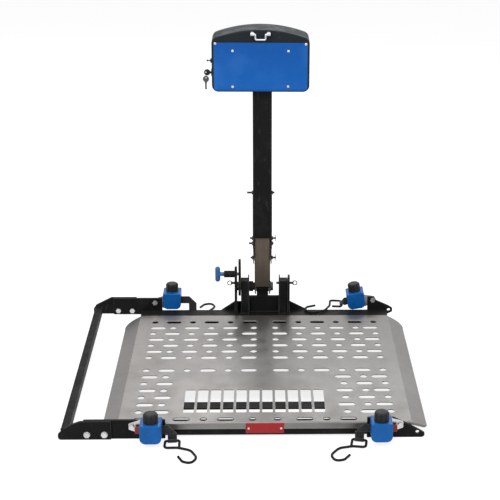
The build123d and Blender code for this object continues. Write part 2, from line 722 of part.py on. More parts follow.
def make_control_board():
    """Board on the back plate, on four posts, with a relay and two terminal blocks."""
    back = HEAD_Y[1] - BACK_THICKNESS
    x = (HEAD_X - 120, HEAD_X - 40)
    z = (HEAD_BOTTOM + 30, HEAD_BOTTOM + 120)
    board = block(x, (back - 9.6, back - 8), z)
    for post_x in (x[0] + 5, x[1] - 5):
        for post_z in (z[0] + 5, z[1] - 5):
            board += rod_y(post_x, (back - 8, back), post_z, 3)
    board += block((x[0] + 14, x[0] + 34), (back - 28, back - 9.6), (z[0] + 40, z[0] + 68))
    board += block((x[0] + 12, x[1] - 12), (back - 20, back - 9.6), (z[0] + 8, z[0] + 20))
    board += block((x[0] + 44, x[0] + 66), (back - 24, back - 9.6), (z[0] + 40, z[0] + 68))
    return board


# Switches on the left side of the head

def make_switch_bodies():
    left = HEAD_LEFT
    inside = left + COVER_WALL
    toggle = block((inside + 1.5, inside + 22), (SWITCH_Y - 7, SWITCH_Y + 7), (TOGGLE_Z - 12, TOGGLE_Z + 12))
    toggle += rod_x((left - 5, inside + 2), SWITCH_Y, TOGGLE_Z, 5.9)
    toggle += hexagon_x((left - 2.5, left), SWITCH_Y, TOGGLE_Z, 14)
    toggle -= rod_x((left - 6, left + 8), SWITCH_Y, TOGGLE_Z, TOGGLE_BORE)
    lock = rod_x((left, inside + 20), SWITCH_Y, KEY_Z, 8.9)
    lock += rod_x((left - 2.5, left), SWITCH_Y, KEY_Z, 11)
    lock -= rod_x((left - 3, left + 19), SWITCH_Y, KEY_Z, 5.3)
    return solid_list([toggle, lock])


def make_toggle_lever():
    """Lever turned from one profile: a ball in its bush, a tapered stem and a round tip."""
    ball = TOGGLE_BORE - RUNNING
    root, neck = TOGGLE_STEM
    centre = HEAD_LEFT + 2
    tip = HEAD_LEFT - TOGGLE_REACH + TOGGLE_TIP
    ball_end = centre - math.sqrt(ball ** 2 - root ** 2)
    tip_start = tip + math.sqrt(TOGGLE_TIP ** 2 - neck ** 2)
    profile = [ThreePointArc((centre + ball, 0), (centre, ball), (ball_end, root)),
               Line((ball_end, root), (tip_start, neck)),
               ThreePointArc((tip_start, neck), (tip, TOGGLE_TIP), (tip - TOGGLE_TIP, 0)),
               Line((tip - TOGGLE_TIP, 0), (centre + ball, 0))]
    return Pos(0, SWITCH_Y, TOGGLE_Z) * revolve(make_face(profile), Axis.X)


def key_shape():
    """Key that points along +X from its bow, with the bow's centre at the origin."""
    bow = across_y(Circle(KEY_BOW), (-1.1, 1.1)) - rod_y(-KEY_HOLE, (-2, 2), 0, 2.2)
    neck = block((8, 13), (-1.1, 1.1), (-3.4, 3.4))
    blade = block((12.5, 32), (-1.0, 1.0), (-2.8, 2.8))
    for cut in (16, 21, 26):
        blade -= Pos(cut, 0, 3.2) * Rot(90, 0, 0) * Cylinder(1.5, 4)
    return bow + neck + blade


def make_ignition_key():
    """Lock plug with the key in it, turned as one."""
    key = Pos(HEAD_LEFT - KEY_REACH + KEY_BOW, SWITCH_Y, KEY_Z) * key_shape()
    plug = rod_x((HEAD_LEFT - 2, HEAD_LEFT + 18.5), SWITCH_Y, KEY_Z, 5.3 - RUNNING)
    return plug + key


def make_spare_key():
    """Second key that hangs from the first one on a small split ring."""
    ring_x = HEAD_LEFT - KEY_REACH + KEY_BOW - KEY_HOLE
    ring_z = KEY_Z - KEY_RING
    ring = Pos(ring_x, SWITCH_Y, ring_z) * Rot(0, 90, 0) * Torus(KEY_RING, 0.7)
    key = Pos(ring_x, SWITCH_Y, ring_z - KEY_RING - KEY_HOLE) * Rot(0, 90, 0) * key_shape()
    return solid_list([ring, key])


# Deck

def make_wing():
    """Right side flange, flat, with X outwards from the fold; its front end is turned down."""
    start = (0.0, WING_BACK)
    end = (WING_WIDTH, WING_BACK - WING_SWEEP)
    middle = (WING_WIDTH * 0.74, WING_BACK - WING_SWEEP * 0.34)
    edges = [ThreePointArc(start, middle, end), Line(end, (WING_WIDTH, DECK_FRONT)),
             Line((WING_WIDTH, DECK_FRONT), (0, DECK_FRONT)), Line((0, DECK_FRONT), start)]
    wing = extrude(make_face(edges), -SHEET)
    lip = outline(rectangle_points((0, WING_WIDTH), (-WING_LIP, 0)), (0, WING_CORNER, 0, 0))
    return wing + across_y(lip, (DECK_FRONT, DECK_FRONT + SHEET))


def hole_places():
    """Centre and kind of every hole, as (x, y, is a slot)."""
    places = []
    for row in range(ROWS):
        if row == BLANK_ROW:
            continue
        y = FIRST_ROW - ROW_PITCH * row
        for side in (-1, 1):
            for column in range(COLUMNS):
                if row in SHORT_ROWS and column < (4 if side < 0 else 3):
                    continue
                distance = FIRST_COLUMN + COLUMN_PITCH * column
                odd_row = row % 2 == 1
                slot = (column % 2 == 0) != odd_row
                if odd_row and column in (0, COLUMNS - 1):
                    distance -= STAGGER
                places.append((DECK_X + side * distance, y, slot))
    return places


def make_deck_sheet():
    x = (DECK_LEFT, DECK_RIGHT)
    bend = SHEET + 2
    lip = [(DECK_BACK, UNDER_DECK), (DECK_BACK, DECK_TOP), (DECK_FRONT, DECK_TOP), (DECK_FRONT, LIP_BOTTOM),
           (DECK_FRONT + SHEET, LIP_BOTTOM), (DECK_FRONT + SHEET, UNDER_DECK)]
    sheet = across_x(outline(lip, (0, 0, bend, 0, 0, 0)), x)
    cuts = Sketch()
    for hole_x, hole_y, slot in hole_places():
        shape = SlotOverall(SLOT_LENGTH, ROUND_HOLE) if slot else Circle(ROUND_HOLE / 2)
        cuts += Pos(hole_x, hole_y) * shape
    for index in range(WINDOWS):
        window_x = WINDOW_X + (index - (WINDOWS - 1) / 2) * WINDOW_PITCH
        cuts += Pos(window_x, WINDOW_Y) * RectangleRounded(WINDOW_WIDTH, WINDOW_LENGTH, 3)
    sheet -= across_z(cuts, (UNDER_DECK - 1, DECK_TOP + 1))
    wing = make_wing()
    right = Pos(x[1], 0, DECK_TOP) * Rot(0, WING_SLOPE, 0) * wing
    left = Pos(x[0], 0, DECK_TOP) * Rot(0, -WING_SLOPE, 0) * mirror(wing, Plane.YZ)
    return sheet + right + left


def rail_along_x(x, y, z):
    """Rectangular tube along X with rounded corners."""
    width = y[1] - y[0]
    height = z[1] - z[0]
    wall = 2 * RAIL_WALL
    face = RectangleRounded(width, height, RAIL_CORNER) - RectangleRounded(width - wall, height - wall, 0.5)
    return across_x(Pos((y[0] + y[1]) / 2, (z[0] + z[1]) / 2) * face, x)


def rail_along_y(x, y, z):
    """Rectangular tube along Y with rounded corners."""
    width = x[1] - x[0]
    height = z[1] - z[0]
    wall = 2 * RAIL_WALL
    face = RectangleRounded(width, height, RAIL_CORNER) - RectangleRounded(width - wall, height - wall, 0.5)
    return across_y(Pos((x[0] + x[1]) / 2, (z[0] + z[1]) / 2) * face, y)


def make_back_rail():
    """Tube on the floor, with a ledge in front of it that meets the deck sheet."""
    x = (DECK_LEFT, DECK_RIGHT)
    tube = rail_along_x(x, (REAR_RAIL_FRONT, REAR_RAIL_BACK), (0, DECK_TOP))
    return tube + block(x, (DECK_BACK, REAR_RAIL_FRONT + RAIL_CORNER), (UNDER_DECK, DECK_TOP))


def make_front_rail():
    y = (DECK_FRONT + SHEET, DECK_FRONT + SHEET + FRONT_RAIL_DEPTH)
    x = (DECK_LEFT + FRONT_RAIL_INSET, DECK_RIGHT - FRONT_RAIL_INSET)
    return rail_along_x(x, y, FRONT_RAIL_Z)


def make_under_frame():
    """Side rails, a flat cross bar under the blank row and a short spine behind it."""
    z = (UNDER_DECK - SIDE_RAIL, UNDER_DECK)
    front = DECK_FRONT + SHEET + FRONT_RAIL_DEPTH
    shapes = []
    for side in (-1, 1):
        centre = DECK_X + side * SIDE_RAIL_X
        rail_x = (centre - SIDE_RAIL / 2, centre + SIDE_RAIL / 2)
        shapes.append(rail_along_y(rail_x, (front, REAR_RAIL_FRONT), z))
    inner = SIDE_RAIL_X - SIDE_RAIL / 2
    blank_y = FIRST_ROW - ROW_PITCH * BLANK_ROW
    cross_y = (blank_y - SIDE_RAIL / 2, blank_y + SIDE_RAIL / 2)
    shapes.append(block((DECK_X - inner, DECK_X + inner), cross_y, (UNDER_DECK - FLAT_BAR, UNDER_DECK)))
    spine_x = (DECK_X - SPINE_WIDTH / 2, DECK_X + SPINE_WIDTH / 2)
    shapes.append(rail_along_y(spine_x, (cross_y[1], REAR_RAIL_FRONT), z))
    return solid_list(shapes)


def make_window_bar():
    """Flat bar welded under the webs between the windows."""
    half = (WINDOWS * WINDOW_PITCH + WINDOW_BAR_OVERHANG) / 2
    y = (WINDOW_BAR_Y - WINDOW_BAR_WIDTH / 2, WINDOW_BAR_Y + WINDOW_BAR_WIDTH / 2)
    return block((WINDOW_X - half, WINDOW_X + half), y, (UNDER_DECK - FLAT_BAR, UNDER_DECK))


def make_reflector():
    face = outline(rectangle_points(REFLECTOR_X, REFLECTOR_Z), 3)
    lens = across_y(face, (DECK_FRONT - REFLECTOR_THICKNESS, DECK_FRONT))
    return chamfer(lens.edges().group_by(Axis.Y)[0], 1.0)


def make_reflector_rivets():
    shapes = []
    middle = (REFLECTOR_Z[0] + REFLECTOR_Z[1]) / 2
    face = DECK_FRONT - REFLECTOR_THICKNESS
    for x in (REFLECTOR_X[0] + REFLECTOR_RIVET_INSET, REFLECTOR_X[1] - REFLECTOR_RIVET_INSET):
        shapes.append(rod_y(x, (face - 1.2, face), middle, 3))
    return solid_list(shapes)


# Foot on the rear rail

def cheek(x, top):
    """Upright side plate round the pivot, wider at its foot."""
    back = REAR_RAIL_BACK
    points = [(DECK_BACK + 8, DECK_TOP), (back, DECK_TOP), (back, CROSS_TOP), (14, top - 12), (8, top), (-18, top),
              (-22, top - 14), (-24, CROSS_TOP)]
    return across_x(outline(points), x)


def make_foot_bracket():
    """Gusset plate on the back of the rail, with the four cheeks of the swing frame."""
    base_z = 6
    points = [(GUSSET_BASE_X[0], base_z), (GUSSET_BASE_X[1], base_z), (GUSSET_BASE_X[1], DECK_TOP),
              (GUSSET_TOP_X[1], GUSSET_TOP), (GUSSET_TOP_X[0], GUSSET_TOP), (GUSSET_BASE_X[0], DECK_TOP)]
    bracket = across_y(outline(points), (REAR_RAIL_BACK, REAR_PLATE_BACK))
    for x in (RIGHT_INNER_CHEEK, RIGHT_OUTER_CHEEK, LEFT_INNER_CHEEK, LEFT_OUTER_CHEEK):
        bracket += cheek(x, CHEEK_TOP)
    tab = rectangle_points((-CHEEK_TAB_WIDTH / 2, CHEEK_TAB_WIDTH / 2), (CROSS_TOP, CHEEK_TAB_TOP))
    bracket += across_x(outline(tab, (0, 0, 12, 12)), LEFT_OUTER_CHEEK)
    bracket -= rod_x((LEFT_OUTER_CHEEK[0] - 1, LEFT_OUTER_CHEEK[1] + 1), 0, PIVOT_Z, CHEEK_NUT_HOLE)
    bracket -= rod_x((LEFT_OUTER_CHEEK[0] - 1, LEFT_OUTER_CHEEK[1] + 1), 0, PLUNGER_Z, PLUNGER_RADIUS + RUNNING)
    bracket -= rod_x((LEFT_INNER_CHEEK[0] - 1, LEFT_INNER_CHEEK[1] + 1), 0, PIVOT_Z, SLEEVE_RADIUS + GAP)
    bracket -= rod_x((LEFT_OUTER_CHEEK[0] - 1, RIGHT_OUTER_CHEEK[1] + 1), RING_PIN_Y, RING_PIN_Z,
                     RING_PIN_RADIUS + RUNNING)
    return bracket


def make_swing_frame():
    """Two posts, the cross plate between them and the hinge tongue with its hub."""
    frame = None
    for x in (LEFT_POST_X, RIGHT_POST_X):
        post = block(x, POST_Y, (DECK_TOP, POST_TOP))
        post -= block((x[0] + POST_WALL, x[1] - POST_WALL), (POST_Y[0] + POST_WALL, POST_Y[1] - POST_WALL),
                      (DECK_TOP - 1, POST_TOP - POST_WALL))
        frame = post if frame is None else frame + post
    half = CROSS_THICKNESS / 2
    cross = block((LEFT_POST_X[1], RIGHT_POST_X[0]), (-half, half), (DECK_TOP, CROSS_TOP))
    for x in (LEFT_INNER_CHEEK, RIGHT_INNER_CHEEK):
        cross -= block(x, (-half - 1, half + 1), (DECK_TOP - 1, CROSS_TOP + 1))
    tongue = block((-TONGUE_WIDTH / 2, TONGUE_WIDTH / 2), (-TONGUE_THICKNESS / 2, TONGUE_THICKNESS / 2),
                   (CROSS_TOP, PIVOT_Z))
    hub_half = INNER_SIZE / 2 - INNER_WALL - GAP
    tongue += rod_x((-hub_half, hub_half), 0, PIVOT_Z, HUB_RADIUS)
    frame += cross + tongue
    frame -= rod_x((-hub_half - 1, hub_half + 1), 0, PIVOT_Z, PIVOT_BOLT_RADIUS)
    frame -= rod_x((LEFT_POST_X[0] - 1, LEFT_POST_X[1] + 1), 0, PIVOT_Z, SLEEVE_RADIUS + GAP)
    frame -= rod_x((LEFT_POST_X[0] - 1, RIGHT_POST_X[1] + 1), RING_PIN_Y, RING_PIN_Z, RING_PIN_RADIUS + RUNNING)
    return solid_list([frame])


def make_pivot_bolt():
    """Bolt with a broad washer under its head, and its lock nut at the quadrant."""
    washer_start = INNER_SIZE / 2 + GAP
    head_start = washer_start + PIVOT_WASHER
    head_end = head_start + PIVOT_HEAD
    nut_start = QUADRANT_X[0] - GAP
    nut_end = nut_start - NUT_LENGTH
    bolt = rod_x((nut_end, head_end), 0, PIVOT_Z, PIVOT_BOLT_RADIUS)
    bolt += rod_x((washer_start, head_start), 0, PIVOT_Z, HUB_RADIUS)
    bolt += hexagon_x((head_start, head_end), 0, PIVOT_Z, PIVOT_HEAD_FLATS)
    bolt += hexagon_x((nut_end, nut_start), 0, PIVOT_Z, PIVOT_HEAD_FLATS)
    return bolt


def ring_pin(x, side):
    """Quick pin with a wire ring through its outer end; side is +1 on the right."""
    pin = rod_x(x, RING_PIN_Y, RING_PIN_Z, RING_PIN_RADIUS)
    hole_x = x[1] - side * 3.5
    pin -= rod_z(hole_x, RING_PIN_Y, (RING_PIN_Z - 6, RING_PIN_Z + 6), RING_WIRE + RUNNING)
    ring = Pos(hole_x + side * RING_RADIUS, RING_PIN_Y, RING_PIN_Z) * Rot(90, 0, 0) * Torus(RING_RADIUS, RING_WIRE)
    return solid_list([pin, ring])


def make_plunger_barrel():
    inner_end = LEFT_OUTER_CHEEK[0]
    barrel = rod_x((BARREL_END, inner_end), 0, PLUNGER_Z, BARREL_RADIUS)
    barrel -= rod_x((BARREL_END + BARREL_CAP, inner_end + 1), 0, PLUNGER_Z, BARREL_BORE)
    return barrel - rod_x((BARREL_END - 1, inner_end), 0, PLUNGER_Z, PLUNGER_RADIUS + RUNNING)


def make_lock_plunger():
    tip = QUADRANT_X[0] - GAP
    plunger = rod_x((HANDLE_X[1], tip), 0, PLUNGER_Z, PLUNGER_RADIUS)
    plunger += rod_x(PLUNGER_COLLAR_X, 0, PLUNGER_Z, PLUNGER_COLLAR)
    plunger += rod_x((HANDLE_X[1], BARREL_END - GAP), 0, PLUNGER_Z, SHANK_RADIUS)
    half = (HANDLE_X[1] - HANDLE_X[0]) / 2
    middle = (HANDLE_X[0] + HANDLE_X[1]) / 2
    bar = rod_z(middle, 0, (HANDLE_Z[0] + half, HANDLE_Z[1] - half), half)
    for z in (HANDLE_Z[0] + half, HANDLE_Z[1] - half):
        bar += Pos(middle, 0, z) * Sphere(half)
    return plunger + bar + rod_x((middle, HANDLE_X[1]), 0, PLUNGER_Z, SHANK_RADIUS)


def make_plunger_spring():
    start = BARREL_END + BARREL_CAP + SPRING_WIRE / 2 + 0.1
    end = PLUNGER_COLLAR_X[0] - SPRING_WIRE / 2 - 0.1
    length = end - start
    coil = Helix(pitch=length / SPRING_TURNS, height=length, radius=SPRING_RADIUS)
    section = Plane(origin=coil @ 0, z_dir=coil % 0) * Circle(SPRING_WIRE / 2)
    return Pos(start, 0, PLUNGER_Z) * Rot(0, 90, 0) * sweep(section, path=coil)


# Corner plates and side loop

def drill_y(shape, places, y, radius):
    """Drill the same hole along Y at each X and Z."""
    for x, z in places:
        shape -= rod_y(x, (min(y) - 1, max(y) + 1), z, radius)
    return shape


def tie_bolt_places(row):
    """X and Z of the tie-down bolts at the front or at the rear."""
    places = []
    for name, corner in CORNERS.items():
        if name.startswith(row):
            centre = corner.place(rod_y(TIE_BOLT_X, (-1, 1), TIE_BOLT_Z, TIE_BOLT_RADIUS)).center()
            places.append((centre.X, centre.Z))
    return places


def make_corner_plates():
    rear_y = (REAR_RAIL_BACK, REAR_PLATE_BACK)
    front_y = (FRONT_PLATE_FACE, DECK_FRONT)
    low, high = REAR_PLATE_Z
    rear_left = across_y(outline(rectangle_points((PLATE_LEFT, REAR_PLATE_END), (low, high)), 3), rear_y)
    edge = DECK_RIGHT
    rear_ear = [(edge - 62, low), (edge + 4.5, low), (edge + 20, 36), (edge + 20, 48), (edge + 7.5, 56),
                (edge - 33.5, 75), (edge - 40.5, 87), (edge - 62, 87)]
    rear_right = across_y(outline(rear_ear, (2, 6, 4, 4, 8, 8, 6, 2)), rear_y)
    rear_right = drill_y(rear_right, [EAR_BOLTS[0]], rear_y, EAR_HOLE)
    front_left = across_y(outline(rectangle_points((PLATE_LEFT, FRONT_PLATE_END), (0, FRONT_PLATE_TOP)), 3),
                          front_y)
    front_ear = [(edge - 121.5, 0), (edge + 29.5, 0), (edge + 36, 5), (edge + 35.5, 13), (edge + 25, 20),
                 (edge - 8, 39), (edge - 50, 60), (edge - 121.5, 60)]
    front_right = across_y(outline(front_ear, (2, 5, 4, 4, 8, 12, 12, 2)), front_y)
    front_right = drill_y(front_right, [EAR_BOLTS[1]], front_y, EAR_HOLE)
    rear_left = drill_y(rear_left, REAR_LOOP_BOLTS, rear_y, LOOP_BOLT_RADIUS)
    front_left = drill_y(front_left, FRONT_LOOP_BOLTS, front_y, LOOP_BOLT_RADIUS)
    plates = []
    for plate, row, y in ((rear_left, "rear", rear_y), (rear_right, "rear", rear_y),
                          (front_left, "front", front_y), (front_right, "front", front_y)):
        plates.append(drill_y(plate, tie_bolt_places(row), y, TIE_BOLT_RADIUS))
    return solid_list(plates)


def make_side_loop():
    """Removable side guard: two arm plates and the bar that joins them."""
    rear_y = (REAR_PLATE_BACK, REAR_PLATE_BACK + PLATE)
    front_y = (FRONT_PLATE_FACE - PLATE, FRONT_PLATE_FACE)
    bar = LOOP_X[0]
    rear_points = [(ARM_END, 28), (ARM_END, 84.5), (bar + 52, 84.5), (bar + 3, 59), (bar - 6, 46), (bar - 6, 34),
                   (bar + 0.5, 28)]
    front_points = [(ARM_END, 1), (ARM_END, 55), (bar + 52, 55), (bar + 27.5, 46), (bar + 1.5, 29), (bar - 9, 17),
                    (bar - 9, 6), (bar - 3.5, 1)]
    radii = (2, 2, 12, 6, 4, 4, 4)
    rear = across_y(outline(rear_points, radii), rear_y)
    front = across_y(outline(front_points, radii + (2,)), front_y)
    length = rear_y[0] - front_y[1]
    middle_x = (LOOP_X[0] + LOOP_X[1]) / 2
    side = LOOP_X[1] - LOOP_X[0]
    slope = math.degrees(math.atan2(LOOP_REAR_Z - LOOP_FRONT_Z, length))
    run = length + side
    bar = Box(side, run, side) - Box(side - 2 * LOOP_WALL, run, side - 2 * LOOP_WALL)
    centre = ((rear_y[0] + front_y[1]) / 2, (LOOP_REAR_Z + LOOP_FRONT_Z) / 2)
    bar = Pos(middle_x, centre[0], centre[1]) * Rot(slope, 0, 0) * bar
    bar = bar & block((LOOP_X[0] - 5, LOOP_X[1] + 5), (front_y[1], rear_y[0]), (-50, 150))
    loop = rear + front + bar
    loop = drill_y(loop, REAR_LOOP_BOLTS, rear_y, LOOP_BOLT_RADIUS)
    return drill_y(loop, FRONT_LOOP_BOLTS, front_y, LOOP_BOLT_RADIUS)


def loop_bolt(x, z, y, outward):
    """Bolt through a loop arm and its corner plate; outward is the side of its head."""
    nut_y = y - outward * 2 * PLATE
    head = hexagon_y(x, (y, y + outward * BOLT_HEAD), z, LOOP_BOLT_FLATS)
    washer = rod_y(x, (y, y + outward * 1.2), z, 9)
    shank = rod_y(x, (y, nut_y - outward * LOOP_BOLT_NUT), z, LOOP_BOLT_RADIUS)
    nut = hexagon_y(x, (nut_y, nut_y - outward * LOOP_BOLT_NUT), z, LOOP_BOLT_FLATS)
    return head + washer + shank + nut


def tie_bolt(front):
    """Bolt of a tie-down: its head looks to the front in both rows."""
    shank = rod_y(TIE_BOLT_X, (-PLATE, BASE_THICKNESS), TIE_BOLT_Z, TIE_BOLT_RADIUS)
    outer = hexagon_y(TIE_BOLT_X, (BASE_THICKNESS, BASE_THICKNESS + BOLT_HEAD), TIE_BOLT_Z, TIE_BOLT_FLATS)
    if front:
        return shank + outer
    return shank + outer + hexagon_y(TIE_BOLT_X, (-PLATE - BOLT_HEAD, -PLATE), TIE_BOLT_Z, LOOP_BOLT_FLATS)


def make_platform_bolts():
    """Four loop bolts and the four bolts of the tie-downs."""
    shapes = []
    for x, z in REAR_LOOP_BOLTS:
        shapes.append(loop_bolt(x, z, REAR_PLATE_BACK + PLATE, 1))
    for x, z in FRONT_LOOP_BOLTS:
        shapes.append(loop_bolt(x, z, FRONT_PLATE_FACE - PLATE, -1))
    for name, corner in CORNERS.items():
        shapes.append(corner.place(tie_bolt(name.startswith("front"))))
    return solid_list(shapes)


# Tie-downs, made for the left rear corner and placed by each corner

def retractor_frame():
    ear = [(TIE_BOLT_X - 8, TIE_BOLT_Z - 9), (TIE_BOLT_X - 8, TIE_BOLT_Z + 9), (BASE_X[0], BASE_TOP),
           (BASE_X[1], BASE_TOP), (BASE_X[1], BASE_BOTTOM), (BASE_X[0], BASE_BOTTOM)]
    frame = across_y(outline(ear, (4, 4, 4, 2, 8, 8)), (0, BASE_THICKNESS))
    frame = drill_y(frame, [(TIE_BOLT_X, TIE_BOLT_Z)], (0, BASE_THICKNESS), TIE_BOLT_RADIUS)
    half = 22
    for z in ((6, 9), (42, 45)):
        frame += block((-half, half), (BASE_THICKNESS, SPOOL_Y + 18), z)
        frame -= rod_z(0, SPOOL_Y, (z[0] - 1, z[1] + 1), SPOOL_SHAFT + RUNNING)
    frame += rod_z(LEVER_PIN_X, LEVER_PIN_Y, (9, LEVER_Z + LEVER_THICKNESS + 0.5), LEVER_PIN_RADIUS)
    return frame


def retractor_cover(closed):
    """Moulded cover; a closed one also has a skin in front of the frame, with a slot for its ear."""
    half = COVER_WIDTH / 2
    corners = (COVER_CORNER, COVER_CORNER, 4, 4)
    points = rectangle_points((-half, half), (0, COVER_HEIGHT))
    start = -GAP - COVER_SKIN if closed else BASE_THICKNESS
    cover = across_y(outline(points, corners), (start, COVER_DEPTH))
    cover = fillet(cover.faces().sort_by(Axis.Y)[-1].outer_wire().edges(), COVER_EDGE)
    inner = rectangle_points((-half + COVER_SKIN, half - COVER_SKIN), (COVER_SKIN, COVER_HEIGHT - COVER_SKIN))
    inner_corners = tuple(radius - COVER_SKIN for radius in corners)
    if closed:
        cover = fillet(cover.faces().sort_by(Axis.Y)[0].outer_wire().edges(), COVER_EDGE)
        ear_slot = (BASE_BOTTOM - GAP, BASE_TOP + GAP)
        cover -= block((-half - 1, -half + COVER_CORNER / 2), (-GAP, BASE_THICKNESS + GAP), ear_slot)
    cover -= across_y(outline(inner, inner_corners), (-GAP, COVER_DEPTH - COVER_SKIN))
    cover -= rod_z(0, SPOOL_Y, (COVER_HEIGHT - COVER_SKIN - 1, COVER_HEIGHT + 1), KNOB_NECK + GAP)
    slot_y = (STRAP_Y - 2.5, STRAP_Y + 2.5)
    cover -= block((half - 3, half + 1), slot_y, (STRAP_Z - 2, STRAP_Z + STRAP_WIDTH + 2))
    lever_slot_y = (BASE_THICKNESS - 1, LEVER_PIN_Y + 5)
    return cover - block((-half - 1, -half + 5), lever_slot_y, (LEVER_Z - 1, LEVER_Z + 4))


def ratchet_face():
    """Ratchet wheel with one sloping and one steep flank on each tooth."""
    points = []
    for tooth in range(RATCHET_TEETH):
        start = tooth * 360 / RATCHET_TEETH
        points.append(on_circle(RATCHET_RADIUS, start))
        points.append(on_circle(RATCHET_RADIUS - 2.2, start + 3))
    return outline(points)


def retractor_spool():
    """Shaft, ratchet wheel, wound webbing core and the fluted hand knob on top."""
    shaft = rod_z(0, 0, (COVER_SKIN + 1, COVER_HEIGHT), SPOOL_SHAFT)
    wheel = across_z(ratchet_face(), (LEVER_Z, LEVER_Z + 2.4))
    drum = rod_z(0, 0, (LEVER_Z + 2.4, 41.5), WOUND_RADIUS)
    neck = rod_z(0, 0, (46, COVER_HEIGHT + GAP), KNOB_NECK)
    base = COVER_HEIGHT + GAP
    knob = rod_z(0, 0, (base, base + KNOB_HEIGHT), KNOB_RADIUS)
    knob = fillet(knob.edges().group_by(Axis.Z)[-1], 7)
    for flute in range(KNOB_FLUTES):
        cutter = rod_z(KNOB_RADIUS + 1.6, 0, (base + 4, base + KNOB_HEIGHT + 1), 4)
        knob -= Rot(0, 0, flute * 360 / KNOB_FLUTES) * cutter
    return Pos(0, SPOOL_Y, 0) * (shaft + wheel + drum + neck + knob)


def retractor_lever():
    """Pawl lever on its pin, with a red tab outside the cover."""
    z = (LEVER_Z, LEVER_Z + LEVER_THICKNESS)
    x = LEVER_PIN_X
    y = LEVER_PIN_Y
    lever = rod_z(x, y, z, 3.8)
    arm = outline([(x - 3, y + 0.5), (x + 3, y + 0.5), (-8.8, 20.5), (-11.5, 20.5)])
    lever += across_z(arm, z)
    lever += block((LEVER_TAB_X[1] - 1, x), (y + 0.5, y + 3.5), z)
    tab = rectangle_points(LEVER_TAB_X, (LEVER_Z, LEVER_Z + LEVER_TAB_HEIGHT))
    lever += across_y(outline(tab, (3, 0, 3, 3)), (y + 0.5, y + 3.5))
    return lever - rod_z(x, y, (z[0] - 1, z[1] + 1), LEVER_PIN_RADIUS + RUNNING)


def eye_loop(corner):
    """Sewn end of a strap round the bar of its hook."""
    half = STRAP_WIDTH / 2
    loop = rod_x((-half, half), 0, 0, EYE_OUTER) - rod_x((-half - 1, half + 1), 0, 0, EYE_BORE)
    return corner.hook_place() * loop


def flat_strap(corner, name):
    """Strap that leaves the cover, turns down in one fold and ends at its hook."""
    local_bar = corner.inward * (corner.bar[0] - corner.x)
    near = local_bar - STRAP_WIDTH / 2
    far = local_bar + STRAP_WIDTH / 2
    low = STRAP_Z
    high = STRAP_Z + STRAP_WIDTH
    bottom = corner.bar[2] - corner.z
    if name.startswith("front"):
        points = [(2, low), (near, low), (near, bottom), (far, bottom), (far, low), (near, high), (2, high)]
        face = outline(points)
    else:
        points = [(2, low), (near, low), (near, bottom), (far, bottom), (far, high), (2, high)]
        face = outline(points, (0, 4, 0, 0, 22, 0))
    band = across_y(face, (STRAP_Y - STRAP_THICKNESS / 2, STRAP_Y + STRAP_THICKNESS / 2))
    strap = corner.place(band) + eye_loop(corner)
    core = corner.hook_place() * rod_x((-STRAP_WIDTH, STRAP_WIDTH), 0, 0, EYE_BORE)
    return strap - core


def section_face(centre, travel, width):
    plane = Plane(origin=centre, x_dir=width, z_dir=travel)
    return plane * Rectangle(STRAP_WIDTH, STRAP_THICKNESS)


def twisted_strap(corner):
    """Strap that turns from upright at the cover to flat at the bar of its hook."""
    inside = corner.place(block((2, 31), (STRAP_Y - STRAP_THICKNESS / 2, STRAP_Y + STRAP_THICKNESS / 2),
                                (STRAP_Z, STRAP_Z + STRAP_WIDTH)))
    slope = math.radians(corner.tilt)
    up = Vector(math.sin(slope), 0, math.cos(slope))
    out = Vector(-math.cos(slope), 0, math.sin(slope))
    start = Vector(corner.x, corner.y + STRAP_Y, corner.z) + out * 31 + up * (STRAP_Z + STRAP_WIDTH / 2)
    end = Vector(*corner.bar) + Vector((EYE_BORE + EYE_OUTER) / 2, 0, 0)
    middle = (start + end) * 0.5
    lean = math.radians(corner.lean)
    flat = Vector(0, math.cos(lean), math.sin(lean))
    twist = (up + flat).normalized()
    faces = [section_face(start, out, up), section_face(middle, Vector(-1, 0, 0), twist),
             section_face(end, Vector(-1, 0, 0), flat)]
    strap = inside + loft(faces, ruled=True) + eye_loop(corner)
    return strap - corner.hook_place() * rod_x((-STRAP_WIDTH, STRAP_WIDTH), 0, 0, EYE_BORE)


def make_tie_down_straps():
    shapes = []
    for name, corner in CORNERS.items():
        shapes.append(twisted_strap(corner) if corner.tilt else flat_strap(corner, name))
    return solid_list(shapes)


def tie_down_hook(corner, name):
    """Bent wire hook whose bar lies in the end of the strap."""
    points = [(x, y, 0) for x, y in HOOK_POINTS]
    hook = wire(points, HOOK_RADII, HOOK_WIRE)
    if name == "rear_right":
        return corner.hook_place() * mirror(hook, Plane.YZ)
    droop = math.degrees(math.atan2(corner.bar[2] - HOOK_WIRE - HOOK_LOW, HOOK_REACH))
    hook = Rot(droop, 0, 0) * hook
    if name == "front_left":
        hook = mirror(hook, Plane.YZ)
    if name == "rear_left":
        hook = Rot(0, 0, 180) * hook
    return corner.hook_place() * hook


